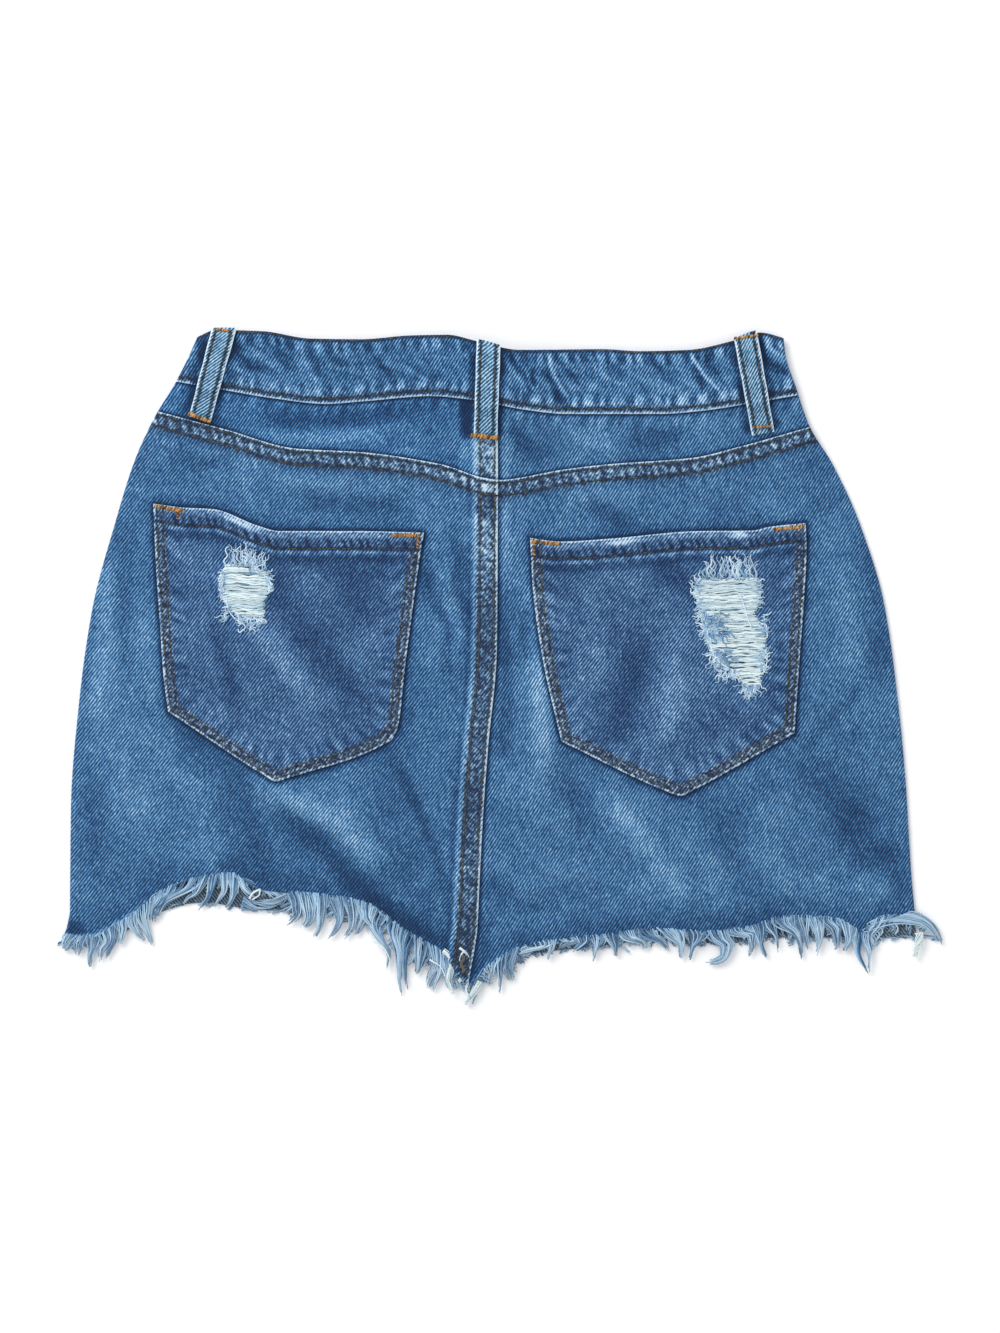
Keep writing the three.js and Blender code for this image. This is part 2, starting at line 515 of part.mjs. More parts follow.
/** One frayed lock: a three-sided tapered strand through rings of [x, y, z, width, height]. */
function lock(rings) {
  const points = rings.flatMap(([x, y, z, wide, high]) => [
    [x - wide / 2, y, z], [x + wide / 2, y, z], [x, y, z + high],
  ]);
  const last = points.length - 3;
  const faces = [[0, 2, 1], [last, last + 1, last + 2]];
  for (let ring = 0; ring < last; ring += 3) {
    for (let side = 0; side < 3; side++) {
      const a = ring + side;
      const b = ring + ((side + 1) % 3);
      faces.push([a, b + 3, a + 3], [a, b, b + 3]);
    }
  }
  return solid(indexed(points.flat(), faces.flat()));
}

/** Fringe of one panel: a narrow strip parted from the hem, and its locks. */
function fringe(name, columns, hem, panel, pitch, lowest) {
  const rows = [(x) => hem(x) - STRIP.gap, (x) => hem(x) - STRIP.gap - STRIP.wide];
  const rootHeight = (x, y) => panel(x, y) + STRIP.lift;
  let cloth = solid(wall(columns, rows, rootHeight, (x, y) => rootHeight(x, y) + STRIP.thick));
  const facets = columns.map((column) => {
    const corners = rows.map((row) => crossing(column, row));
    const heights = corners.map(({ x, y }) => rootHeight(x, y));
    return { x: corners[1].x, y: corners[1].y, z: (heights[0] + heights[1]) / 2 };
  });
  const start = facets[0].x;
  const end = facets.at(-1).x;
  const reach = line(FRINGE_REACH, "x", "y");
  const lean = line(FRINGE_LEAN, "x", "lean");
  const count = Math.floor((end - start) / pitch);
  for (let i = 0; i < count; i++) {
    const x = start + ((end - start) * (i + 0.5)) / count;
    const next = facets.findIndex((facet) => facet.x > x);
    const share = (x - facets[next - 1].x) / (facets[next].x - facets[next - 1].x);
    const onStrip = (axis) => THREE.MathUtils.lerp(facets[next - 1][axis], facets[next][axis], share);
    const root = onStrip("y") + LOCK.sunk;
    const rootZ = onStrip("z") + STRIP.lift;
    const length = Math.max(LOCK.shortest, root - reach(x)) * LOCK_LENGTHS[i % LOCK_LENGTHS.length];
    const ring = (at, sway) => [
      x + lean(x) * at * at + sway,
      root - length * at,
      THREE.MathUtils.lerp(rootZ, Math.min(rootZ, lowest), at),
      THREE.MathUtils.lerp(LOCK.root, LOCK.tip, at),
      THREE.MathUtils.lerp(LOCK.high, LOCK.tipHigh, at),
    ];
    const sway = i % 2 ? LOCK.sway : -LOCK.sway;
    cloth = cloth.add(lock([ring(0, 0), ring(0.55, sway), ring(1, 0)]));
  }
  add(name, geometryOf(cloth), FRAYED);
}
const pastCentre = rightColumns.slice(1);
const pastFly = frontRightColumns.slice(NEAR_FLY.indexOf(FLY_LAP + CLEAR));
fringe("fringe_back_left", leftColumns, backHem, under.backLeft, BACK_LOCK_PITCH, PLY + STRIP.lift);
fringe("fringe_back_right", pastCentre, backHem, under.backRight, BACK_LOCK_PITCH, PLY + STRIP.lift);
fringe("fringe_front_left", frontLeftColumns, frontHem, frontUnder.left, FRONT_LOCK_PITCH, STRIP.lift);
fringe("fringe_front_right", pastFly, frontHem, frontUnder.left, FRONT_LOCK_PITCH, STRIP.lift);

export default skirt;
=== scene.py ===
"""A short A-line denim skirt with a raw hem, laid on its front and seen from straight above.

One section for each piece or group of like pieces, in the order in which they lie on each other. Lengths are
millimetres until a mesh is made; +X is the right of the back, +Y the waist, +Z up from the floor.
"""
from math import cos, pi, radians

import bpy
import numpy as np
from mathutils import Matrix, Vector


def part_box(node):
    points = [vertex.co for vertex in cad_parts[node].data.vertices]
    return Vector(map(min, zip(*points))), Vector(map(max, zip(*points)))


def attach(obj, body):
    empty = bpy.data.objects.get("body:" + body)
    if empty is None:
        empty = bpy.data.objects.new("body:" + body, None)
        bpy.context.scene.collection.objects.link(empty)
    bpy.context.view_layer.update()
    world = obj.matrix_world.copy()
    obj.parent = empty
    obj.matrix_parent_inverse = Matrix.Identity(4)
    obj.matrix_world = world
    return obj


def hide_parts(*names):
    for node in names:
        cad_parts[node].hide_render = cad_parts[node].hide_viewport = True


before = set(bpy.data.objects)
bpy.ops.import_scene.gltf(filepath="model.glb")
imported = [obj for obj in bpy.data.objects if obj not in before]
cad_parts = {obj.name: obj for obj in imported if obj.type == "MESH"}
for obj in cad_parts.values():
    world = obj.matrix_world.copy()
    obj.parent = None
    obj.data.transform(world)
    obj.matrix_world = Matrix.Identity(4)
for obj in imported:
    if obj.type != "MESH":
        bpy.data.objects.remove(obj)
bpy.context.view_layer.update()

# Floor, light and camera: a white sheet of paper, a big soft window to the upper left and a bright, even room.
MM = 0.001
PICTURE_WIDTH, PICTURE_HEIGHT = 1000, 1333
MM_PER_PIXEL = 0.58
PICTURE_CENTRE = (0.87, -0.87)
CAMERA_ABOVE = 3000
LYING_HEIGHT = 8
WINDOW = {"place": (-1300, 1500, 1700), "side": 1500, "watts": 44}
ROOM_LIGHT = 0.8


def linear(hex_colour, alpha=1.0):
    """sRGB hex text as linear RGBA: c / 12.92 up to 0.04045, and ((c + 0.055) / 1.055) to the power 2.4 above."""
    srgb = np.array([int(hex_colour[i:i + 2], 16) for i in (1, 3, 5)]) / 255
    low = srgb / 12.92
    high = ((srgb + 0.055) / 1.055) ** 2.4
    return (*np.where(srgb <= 0.04045, low, high), alpha)


def node(tree, kind, inputs=(), **settings):
    """Adds a shader node: its settings, and for each input a value or the node or socket that feeds it."""
    made = tree.nodes.new(kind)
    for name, value in settings.items():
        setattr(made, name, value)
    for name, value in dict(inputs).items():
        if isinstance(value, bpy.types.Node):
            value = value.outputs[0]
        if isinstance(value, bpy.types.NodeSocket):
            tree.links.new(value, made.inputs[name])
        else:
            made.inputs[name].default_value = value
    return made


def new_material(name, roughness, **values):
    """A material with its tree and its shader, whose plain values are set on the shader's own sockets."""
    material = bpy.data.materials.new(name)
    material.use_nodes = True
    shader = material.node_tree.nodes["Principled BSDF"]
    shader.inputs["Roughness"].default_value = roughness
    for socket, value in values.items():
        shader.inputs[socket.replace("_", " ")].default_value = value
    return material, material.node_tree, shader


scene = bpy.context.scene
scene.view_settings.view_transform = "Standard"
paper, paper_tree, paper_shader = new_material("white_paper", 0.9)
paper_tooth = node(paper_tree, "ShaderNodeTexNoise", {"Scale": 400.0, "Detail": 3.0})
paper_tint = node(paper_tree, "ShaderNodeMix", {"Factor": paper_tooth, 6: linear("#fbfbfb"), 7: linear("#ffffff")},
                  data_type="RGBA")
paper_tree.links.new(paper_tint.outputs[2], paper_shader.inputs["Base Color"])
floor_half = 6.0
floor_mesh = bpy.data.meshes.new("paper_floor")
floor_mesh.from_pydata([(-floor_half, -floor_half, 0), (floor_half, -floor_half, 0), (floor_half, floor_half, 0),
                        (-floor_half, floor_half, 0)], [], [(0, 1, 2, 3)])
floor = bpy.data.objects.new("paper_floor", floor_mesh)
scene.collection.objects.link(floor)
floor_mesh.materials.append(paper)

world = bpy.data.worlds.new("bright_room")
world.use_nodes = True
world.node_tree.nodes["Background"].inputs["Color"].default_value = linear("#fcfdff")
world.node_tree.nodes["Background"].inputs["Strength"].default_value = ROOM_LIGHT
scene.world = world
window = bpy.data.lights.new("window", "AREA")
window.size = WINDOW["side"] * MM
window.energy = WINDOW["watts"]
window_object = bpy.data.objects.new("window", window)
window_object.location = Vector(WINDOW["place"]) * MM
window_object.rotation_euler = (-window_object.location).to_track_quat("-Z", "Y").to_euler()
scene.collection.objects.link(window_object)

lens = bpy.data.cameras.new("camera_above")
lens.sensor_width = 36
lens.sensor_fit = "AUTO"
lens.lens = lens.sensor_width * (CAMERA_ABOVE - LYING_HEIGHT) / (PICTURE_HEIGHT * MM_PER_PIXEL)
lens.clip_end = 20
camera = bpy.data.objects.new("camera_above", lens)
camera.location = (PICTURE_CENTRE[0] * MM, PICTURE_CENTRE[1] * MM, CAMERA_ABOVE * MM)
scene.collection.objects.link(camera)
scene.camera = camera

# Front panels: the two front halves of 12 oz denim, face down on the floor, the left one lapped over the right
# one at the fly. They are plain, and only their reverse shows, below the back's hem.
CLOTH = 1.2
GAP = 0.3
PLY = CLOTH + GAP
CLEAR = 0.4
RAMP = 3
BAND = 2 * CLOTH + GAP
BAND_LIP = 8
BAND_STEP = 2
FRONT_DROP = 5
SIDE_ROUND = 1.6
SIDE_THIN = 0.35
FLY_EDGE = 8
FLY_UNDER = -27
FLY_RAMP = 8
BUTTON_X, BUTTON_BELOW, BUTTON_RADIUS, BUTTON_LIFT, BUTTON_BELL = -9.5, 16, 8.5, 2.9, 60
FRONT_LOOP_X, FRONT_LOOP_LIFT, FRONT_LOOP_BESIDE, FRONT_LOOP_BELOW, FRONT_LOOP_BELL = 97, 1.9, 17, 24, 45
SOLVING_ROUNDS = 25
COARSE = 3  # the hidden face of a wall has every third line of its upper face
WAIST_TOP = ((-175, 190.5), (-164, 194.5), (-137, 193.7), (-109, 189.4), (-80, 189), (-50, 191.2), (-30, 191.4),
             (-12, 187.5), (12, 182.6), (60, 183.3), (82, 182.1), (110, 182.8), (135, 187.9), (152, 193),
             (167, 189.5))
WAIST_BOTTOM = ((-187, 164.5), (-162, 160.1), (-130, 154.6), (-100, 151.4), (-80, 152.8), (-40, 155.8),
                (-15, 153.5), (15, 147.9), (38, 145.6), (94, 145.6), (117, 147.3), (150, 152.5), (176, 157))
SIDE_LEFT = ((195, -173), (179, -180), (165, -187), (147, -198), (120, -211), (82, -223), (33, -236), (-20, -243.6),
             (-82, -248.5), (-130, -249), (-146, -249.2), (-158, -252.6), (-165, -253.5))
SIDE_RIGHT = ((195, 165), (179, 167), (162, 172.5), (138, 181), (117, 194), (82, 210), (36, 224), (-17, 231.7),
              (-68, 236.6), (-120, 239.8), (-146, 242), (-165, 243))
FRONT_HEM = ((-253, -161), (-225, -158.3), (-200, -145), (-173, -138), (-136, -142.5), (-100, -141),
             (-80, -144.5), (-43, -166), (-16, -176), (18, -168), (53, -164), (94, -160), (128, -161.8),
             (163, -158.3), (243, -158.5))


def smooth_line(rows):
    """A curve through the rows with no overshoot: a cubic in each span, whose slope at a row is the harmonic
    mean of the slopes beside it, or 0 where they turn, and straight on past the ends."""
    at, value = np.array(sorted(rows), float).T
    rise = np.diff(value) / np.diff(at)
    before = np.append(rise[0], rise)
    after = np.append(rise, rise[-1])
    same_way = before * after > 0
    slope = np.where(same_way, 2 * before * after / np.where(same_way, before + after, 1), 0)

    def curve(where):
        where = np.asarray(where, float)
        i = np.clip(np.searchsorted(at, where) - 1, 0, len(at) - 2)
        run = at[i + 1] - at[i]
        t = np.clip((where - at[i]) / run, 0, 1)
        u = 1 - t
        past = where - np.clip(where, at[0], at[-1])
        return (value[i] * (1 + 2 * t) * u * u + slope[i] * run * t * u * u
                + value[i + 1] * (3 - 2 * t) * t * t - slope[i + 1] * run * t * t * u
                + np.where(past < 0, slope[0], slope[-1]) * past)
    return curve


waist_top = smooth_line(WAIST_TOP)
waist_bottom = smooth_line(WAIST_BOTTOM)
side_left = smooth_line(SIDE_LEFT)
side_right = smooth_line(SIDE_RIGHT)
front_hem = smooth_line(FRONT_HEM)
button_y = float(waist_top(BUTTON_X)) - FRONT_DROP - BUTTON_BELOW


def ramp(value, start, end):
    """0 up to start, 1 past end, straight between them."""
    return np.clip((value - start) / (end - start), 0, 1)


def ease(value, start, end):
    """The same with soft ends: 3 t squared less 2 t cubed."""
    t = ramp(value, start, end)
    return t * t * (3 - 2 * t)


def bell(distance, reach):
    """1 at no distance, sinking to 0 at the reach on either side along a cosine."""
    return 0.5 + 0.5 * np.cos(pi * np.clip(np.abs(distance) / reach, 0, 1))


def straight(value):
    """An edge that stays at one value."""
    return lambda where: np.full(np.shape(where), float(value))


def shares(length, step, near_start=(0,), near_end=(0,)):
    """Shares from 0 to 1 along a length: the given distances from either end, and even steps between them,
    as many as make a whole number of coarse steps."""
    count = max(2, round((length - near_start[-1] - near_end[-1]) / step))
    count += -(len(near_start) + len(near_end) + count - 3) % COARSE
    even = np.linspace(near_start[-1], length - near_end[-1], count)
    return np.concatenate([near_start[:-1], even, length - np.array(near_end[:-1])[::-1]]) / length


def net(left, right, top, bottom, across, down):
    """x and y of a net of points, rows from top to bottom. A point lies at its share of the way from the left
    edge to the right one and from the top edge to the bottom one. The edges bend, so x and y are solved in turns."""
    x = y = np.zeros((len(down), len(across)))
    for _ in range(SOLVING_ROUNDS):
        x = left(y) + (right(y) - left(y)) * across
        y = top(x) + (bottom(x) - top(x)) * down[:, None]
    return x, y


def quads(rows, columns, first=0):
    """Faces of a net whose points are numbered along its rows, turned to look up."""
    corner = first + np.arange(rows * columns).reshape(rows, columns)
    return np.stack([corner[:-1, :-1], corner[1:, :-1], corner[1:, 1:], corner[:-1, 1:]], -1).reshape(-1, 4)


def wall(x, y, low, high):
    """Closed sheet: the net at the height high, every third line of it at the height low, and a rim of faces that
    each join one coarse edge below to the fine edges above it."""
    rows, columns = x.shape
    under = (slice(None, None, COARSE),) * 2
    upper = np.stack([x, y, high], -1).reshape(-1, 3)
    lower = np.stack([x[under], y[under], low[under]], -1).reshape(-1, 3)
    number = np.arange(rows * columns).reshape(rows, columns)
    beneath = len(upper) + np.arange(len(lower)).reshape(x[under].shape)
    around = [np.concatenate([n[:-1, 0], n[-1, :-1], n[:0:-1, -1], n[0, :0:-1]]) for n in (number, beneath)]
    start = np.arange(len(around[1]))
    along = (start[:, None] * COARSE + np.arange(COARSE, -1, -1)) % len(around[0])
    rim = np.column_stack([around[1], np.roll(around[1], -1), around[0][along]])
    top = quads(rows, columns)
    bottom = quads(*beneath.shape, first=len(upper))[:, ::-1]
    return np.concatenate([upper, lower]), [top, bottom, rim], np.concatenate([x.ravel(), x[under].ravel()]), \
        np.concatenate([y.ravel(), y[under].ravel()])


def make_mesh(name, points, faces, cloth=None, **attributes):
    """A mesh from points in mm and groups of faces. cloth is the place of each point on the flat cloth, kept as
    a UV map in metres, and each attribute holds one number for each point."""
    mesh = bpy.data.meshes.new(name)
    corners = np.concatenate([group.ravel() for group in faces])
    sizes = np.concatenate([np.full(len(group), group.shape[1]) for group in faces])
    mesh.vertices.add(len(points))
    mesh.vertices.foreach_set("co", (np.asarray(points) * MM).ravel())
    mesh.loops.add(len(corners))
    mesh.loops.foreach_set("vertex_index", corners)
    mesh.polygons.add(len(sizes))
    mesh.polygons.foreach_set("loop_start", np.cumsum(sizes) - sizes)
    mesh.polygons.foreach_set("use_smooth", np.ones(len(sizes), bool))
    mesh.update(calc_edges=True)
    if cloth is not None:
        mesh.uv_layers.new(name="cloth").data.foreach_set("uv", (np.column_stack(cloth) * MM)[corners].ravel())
    for label, values in attributes.items():
        mesh.attributes.new(label, "FLOAT", "POINT").data.foreach_set("value", np.ravel(values))
    return mesh


def piece(mesh, material, slot, *nodes):
    """An object for the mesh, which rides on the skirt and stands for the given nodes of the frame."""
    made = bpy.data.objects.new(mesh.name, mesh)
    scene.collection.objects.link(made)
    mesh.materials.append(material)
    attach(made, "root")
    if nodes:
        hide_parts(*nodes)
    return made


def inside_sides(x, y):
    """How far a spot lies inside the side seams."""
    return np.maximum(0, np.minimum(x - side_left(y), side_right(y) - x))


def rounded(thickness, x, y):
    """Thickness of a wall, rounded down at the side seams like a quarter of a circle."""
    away = 1 - np.clip(inside_sides(x, y) / SIDE_ROUND, 0, 1)
    return thickness * (SIDE_THIN + (1 - SIDE_THIN) * np.sqrt(1 - away * away))


def front_lift(x, y):
    """Clearance under the front, which the button and the two front belt loops hold off the floor."""
    from_button = np.hypot(x - BUTTON_X, y - button_y) - BUTTON_RADIUS
    beside = np.maximum(0, np.abs(np.abs(x) - FRONT_LOOP_X) - FRONT_LOOP_BESIDE)
    below = np.maximum(0, waist_bottom(x) - FRONT_DROP - FRONT_LOOP_BELOW - y)
    return np.maximum(BUTTON_LIFT * bell(np.maximum(0, from_button), BUTTON_BELL),
                      FRONT_LOOP_LIFT * bell(np.hypot(beside, below), FRONT_LOOP_BELL))


def front_waist_top(x):
    """Upper edge of the front waistband."""
    return waist_top(x) - FRONT_DROP


def front_waist_bottom(x):
    """Lower edge of the front waistband."""
    return waist_bottom(x) - FRONT_DROP


def on_fly_lap(x):
    """1 where the right front lies on the left one, 0 past the lap."""
    return 1 - ramp(x, FLY_EDGE + CLEAR, FLY_EDGE + CLEAR + FLY_RAMP)


def on_band_lip(x, y):
    """1 where a front panel is tucked into its waistband."""
    return ramp(y - front_waist_bottom(x), -CLEAR - RAMP, -CLEAR)


def front_under(side, x, y):
    """Underside of a front panel: a ply up on the band's lip, and two on the fly lap."""
    lip = on_band_lip(x, y)
    lap = on_fly_lap(x) * (1 + lip) if side == "right" else 0
    return front_lift(x, y) + PLY * (lip + lap)


def denim(name, colours, wale_degrees=52, contrast=1.0, tone_weight=1.0):
    """12 oz three-by-one denim, stone washed: slanting wales of faded indigo warp over white weft, so short light
    flecks on a darker blue, cloudy from the wash and almost white on the rubbed edges. Its tone attribute also paints
    in shade and light: dark in the troughs, grooves and shadows."""
    material, tree, shader = new_material(name, 0.92, Specular_IOR_Level=0.25)
    cloth = node(tree, "ShaderNodeUVMap", uv_map="cloth")
    per_mm = (1000.0, 1000.0, 1000.0)
    level = node(tree, "ShaderNodeMapping", {"Vector": cloth, "Scale": per_mm})
    slant = node(tree, "ShaderNodeMapping",
                 {"Vector": cloth, "Scale": per_mm, "Rotation": (0.0, 0.0, radians(90 - wale_degrees))})
    wave_unit = 2 * pi / 20  # a wave texture of scale 1 repeats at this length
    wale_mm = 1.6  # the photo's are 1.25 mm apart; coarser here, so that the points of the picture still part them
    wales = node(tree, "ShaderNodeTexWave",
                 {"Vector": slant, "Scale": wave_unit / wale_mm, "Distortion": 0.9, "Detail": 1.0,
                  "Detail Scale": 1.3, "Detail Roughness": 0.5}, wave_profile="SIN")
    fleck_place = node(tree, "ShaderNodeMapping", {"Vector": slant, "Scale": (1.15, 0.42, 1.0)})
    flecks = node(tree, "ShaderNodeTexNoise", {"Vector": fleck_place, "Scale": 1.0, "Detail": 2.0})
    warp_place = node(tree, "ShaderNodeMapping", {"Vector": level, "Scale": (1.3, 0.09, 1.0)})
    warp = node(tree, "ShaderNodeTexNoise", {"Vector": warp_place, "Scale": 1.0, "Detail": 2.0})
    blotch = node(tree, "ShaderNodeTexNoise", {"Vector": level, "Scale": 1 / 5.5, "Detail": 3.0})
    cloud = node(tree, "ShaderNodeTexNoise", {"Vector": level, "Scale": 1 / 34, "Detail": 3.0, "Roughness": 0.6})
    tone = node(tree, "ShaderNodeAttribute", attribute_name="tone")
    seam = node(tree, "ShaderNodeAttribute", attribute_name="seam")
    edge = node(tree, "ShaderNodeAttribute", attribute_name="edge")
    mixed = 0.46
    for source, weight in ((wales, 0.46), (flecks, 0.74), (warp, 0.34), (blotch, 0.26), (cloud, 0.36)):
        centred = node(tree, "ShaderNodeMath", {0: source, 1: 0.5}, operation="SUBTRACT")
        mixed = node(tree, "ShaderNodeMath", {0: centred, 1: weight * contrast, 2: mixed}, operation="MULTIPLY_ADD")
    mixed = node(tree, "ShaderNodeMath", {0: tone.outputs["Fac"], 1: tone_weight, 2: mixed},
                 operation="MULTIPLY_ADD")
    weave = node(tree, "ShaderNodeMath", {0: wales, 1: flecks}, operation="ADD")
    grit = node(tree, "ShaderNodeTexNoise", {"Vector": level, "Scale": 0.42, "Detail": 2.0})
    grime = node(tree, "ShaderNodeMapRange", {"Value": grit, 1: 0.4, 2: 0.6, 3: -0.5, 4: 0.36})
    mixed = node(tree, "ShaderNodeMath", {0: seam.outputs["Fac"], 1: grime, 2: mixed}, operation="MULTIPLY_ADD")
    worn_to = node(tree, "ShaderNodeMapRange", {"Value": flecks, 1: 0.3, 2: 0.7, 3: 1.2, 4: 2.2})
    worn = node(tree, "ShaderNodeMapRange", {"Value": edge.outputs["Fac"], 1: 0.1, 2: worn_to, 3: 0.58, 4: 0.0},
                interpolation_type="SMOOTHSTEP")
    mixed = node(tree, "ShaderNodeMath", {0: worn, 1: mixed}, operation="ADD")
    # The ramp turns the sum into colour: the dye, the wear, and the painted shade and light that the tone attribute
    # carries.
    dye_and_painted_shade = node(tree, "ShaderNodeValToRGB", {"Fac": mixed})
    places = (0.12, 0.36, 0.55, 0.76, 1.0)
    while len(dye_and_painted_shade.color_ramp.elements) < len(places):
        dye_and_painted_shade.color_ramp.elements.new(0.5)
    for stop, place, colour in zip(dye_and_painted_shade.color_ramp.elements, places, colours):
        stop.position = place
        stop.color = linear(colour)
    lint = node(tree, "ShaderNodeMath", {0: seam.outputs["Fac"], 1: 0.65}, operation="MULTIPLY")
    dusty = node(tree, "ShaderNodeHueSaturation", {"Color": dye_and_painted_shade.outputs[0], "Hue": 0.47, "Saturation": 0.4, "Value": 0.74})
    dyed_with_painted_shade = node(tree, "ShaderNodeMix", {0: lint, 6: dye_and_painted_shade.outputs[0], 7: dusty}, data_type="RGBA")
    tree.links.new(dyed_with_painted_shade.outputs[2], shader.inputs["Base Color"])
    bump = node(tree, "ShaderNodeBump", {"Strength": 0.55, "Distance": 0.00025, "Height": weave})
    tree.links.new(bump.outputs[0], shader.inputs["Normal"])
    shader.inputs["Sheen Weight"].default_value = 0.12
    shader.inputs["Sheen Roughness"].default_value = 0.5
    return material


BODY_BLUES = ("#0d2746", "#214772", "#3b6e9d", "#70a1c6", "#c6dbe7")
body_denim = denim("stone_washed_denim", BODY_BLUES)
right_denim = denim("stone_washed_denim_right", BODY_BLUES, wale_degrees=58)
# The reverse is greyish weft and paler in itself; these greys are darker, with the shade under the back's hem painted
# in.
REVERSE_GREYS_IN_SHADE = ("#27333f", "#3b4a58", "#566878", "#7d8f9d", "#b5c0c8")
shaded_reverse_denim = denim("denim_reverse_painted_shade", REVERSE_GREYS_IN_SHADE, wale_degrees=128)
FRONT_STEP = 3.0
for side, left, right in (("left", side_left, straight(FLY_EDGE)), ("right", straight(FLY_UNDER), side_right)):
    front_across = shares(258, FRONT_STEP, *(((0, 0.5, 1.6), (0,)) if side == "left" else ((0,), (0, 0.5, 1.6))))
    front_down = shares(330, FRONT_STEP, (0, 8.4, 11.4), (0, 1))
    x, y = net(left, right, lambda x: front_waist_bottom(x) + BAND_LIP, front_hem, front_across, front_down)
    low = front_under(side, x, y)
    points, faces, flat_x, flat_y = wall(x, y, low, low + CLOTH)
    plain = np.zeros(len(points))
    mesh = make_mesh(f"front_panel_{side}", points, faces, (flat_x, flat_y), tone=plain, seam=plain, edge=plain + 9)
    panel = piece(mesh, body_denim, "denim", f"front_{side}")
    mesh.materials.append(shaded_reverse_denim)
    mesh.polygons.foreach_set("material_index", np.repeat([1, 0], [len(faces[0]), len(faces[1]) + len(faces[2])]))

# Front waistband halves: folded strips over the top of the front panels, lapped and buttoned at the fly. A round
# hole in each lets the button's shank through.
BUTTON_HOLE = 2.6
BAND_STEP_ROWS = (0, BAND_LIP + CLEAR, BAND_LIP + CLEAR + BAND_STEP)


def crossings(outline, y):
    """Leftmost and rightmost x at which a closed outline crosses each y."""
    a, b = np.array(outline, float), np.roll(np.array(outline, float), -1, 0)
    y = np.asarray(y, float)[..., None]
    meets = (a[:, 1] <= y) != (b[:, 1] <= y)
    x = a[:, 0] + (y - a[:, 1]) * (b[:, 0] - a[:, 0]) / np.where(b[:, 1] == a[:, 1], 1, b[:, 1] - a[:, 1])
    return np.where(meets, x, np.inf).min(-1), np.where(meets, x, -np.inf).max(-1)


def from_outline(outline, x, y):
    """Distance of each spot inside a closed outline, negative outside it, and the nearest place on it. A spot is
    inside where a level line from it crosses the outline an odd number of times."""
    a, b = np.array(outline, float), np.roll(np.array(outline, float), -1, 0)
    spot = np.stack([x, y], -1)[..., None, :]
    side = b - a
    t = np.clip(((spot - a) * side).sum(-1) / (side * side).sum(-1), 0, 1)
    place = a + t[..., None] * side
    away = np.linalg.norm(spot - place, axis=-1)
    best = away.argmin(-1)[..., None]
    py = spot[..., 1]
    across = a[:, 0] + (py - a[:, 1]) * side[:, 0] / np.where(side[:, 1] == 0, 1, side[:, 1])
    odd = (((a[:, 1] <= py) != (b[:, 1] <= py)) & (spot[..., 0] < across)).sum(-1) % 2 == 1
    nearest = np.take_along_axis(place, best[..., None], -2)[..., 0, :]
    return np.take_along_axis(away, best, -1)[..., 0] * np.where(odd, 1, -1), nearest


def pierced_wall(x, y, low, high, hole):
    """Closed sheet with a hole: cells whose middle lies in the hole's outline are left out, the points around
    them slide on to the outline, and rim faces stand wherever a kept cell has no neighbour."""
    inside, _ = from_outline(hole, *[(v[:-1, :-1] + v[1:, 1:]) / 2 for v in (x, y)])
    kept = inside < 0
    ring = np.pad(kept, 1, constant_values=True)
    touches = [ring[i:ring.shape[0] - 1 + i, j:ring.shape[1] - 1 + j] for i in (0, 1) for j in (0, 1)]
    on_rim = np.any(touches, 0) & ~np.all(touches, 0)
    _, nearest = from_outline(hole, x[on_rim], y[on_rim])
    x, y = x.copy(), y.copy()
    x[on_rim], y[on_rim] = nearest.T
    top_points, low_points = [np.stack([x, y, z], -1).reshape(-1, 3) for z in (high, low)]
    rows, columns = x.shape
    number = np.arange(rows * columns).reshape(rows, columns)
    solid = np.pad(kept, 1)
    starts, ends = [], []
    for edge, begin, finish in (
            (solid[1:-1, 1:] & ~solid[1:-1, :-1], number[:-1], number[1:]),
            (solid[1:-1, :-1] & ~solid[1:-1, 1:], number[1:], number[:-1]),
            (solid[:-1, 1:-1] & ~solid[1:, 1:-1], number[:, :-1], number[:, 1:]),
            (solid[1:, 1:-1] & ~solid[:-1, 1:-1], number[:, 1:], number[:, :-1])):
        starts.append(begin[edge])
        ends.append(finish[edge])
    start, end = np.concatenate(starts), np.concatenate(ends)
    count = rows * columns
    top = quads(rows, columns)[kept.ravel()]
    rim = np.column_stack([start + count, end + count, end, start])
    points = np.concatenate([top_points, low_points])
    used, faces = np.unique(np.concatenate([top, top[:, ::-1] + count, rim]), return_inverse=True)
    return points[used], [faces.reshape(-1, 4)], used % count


def circle(x, y, radius, corners=16):
    """A round outline."""
    turn = np.arange(corners) * 2 * pi / corners
    return np.column_stack([x + radius * np.cos(turn), y + radius * np.sin(turn)])


for side, left, right in (("left", side_left, straight(FLY_EDGE)), ("right", straight(FLY_UNDER), side_right)):
    band_across = shares(195, FRONT_STEP / 2)
    band_down = shares(33, FRONT_STEP / 2, (0,), BAND_STEP_ROWS)
    x, y = net(left, right, front_waist_top, front_waist_bottom, band_across, band_down)
    low = front_lift(x, y) + (2 * PLY * on_fly_lap(x) if side == "right" else 0)
    tucked = ramp(y - front_waist_bottom(x), BAND_LIP + CLEAR, BAND_LIP + CLEAR + BAND_STEP)
    high = low + CLOTH + (BAND - CLOTH) * tucked
    points, faces, used = pierced_wall(x, y, low, high, circle(BUTTON_X, button_y, BUTTON_HOLE))
    plain = np.zeros(len(points))
    mesh = make_mesh(f"front_band_{side}", points, faces, points[:, :2].T, tone=plain, seam=plain, edge=plain + 9)
    front_band = piece(mesh, body_denim, "denim", f"waistband_front_{side}")

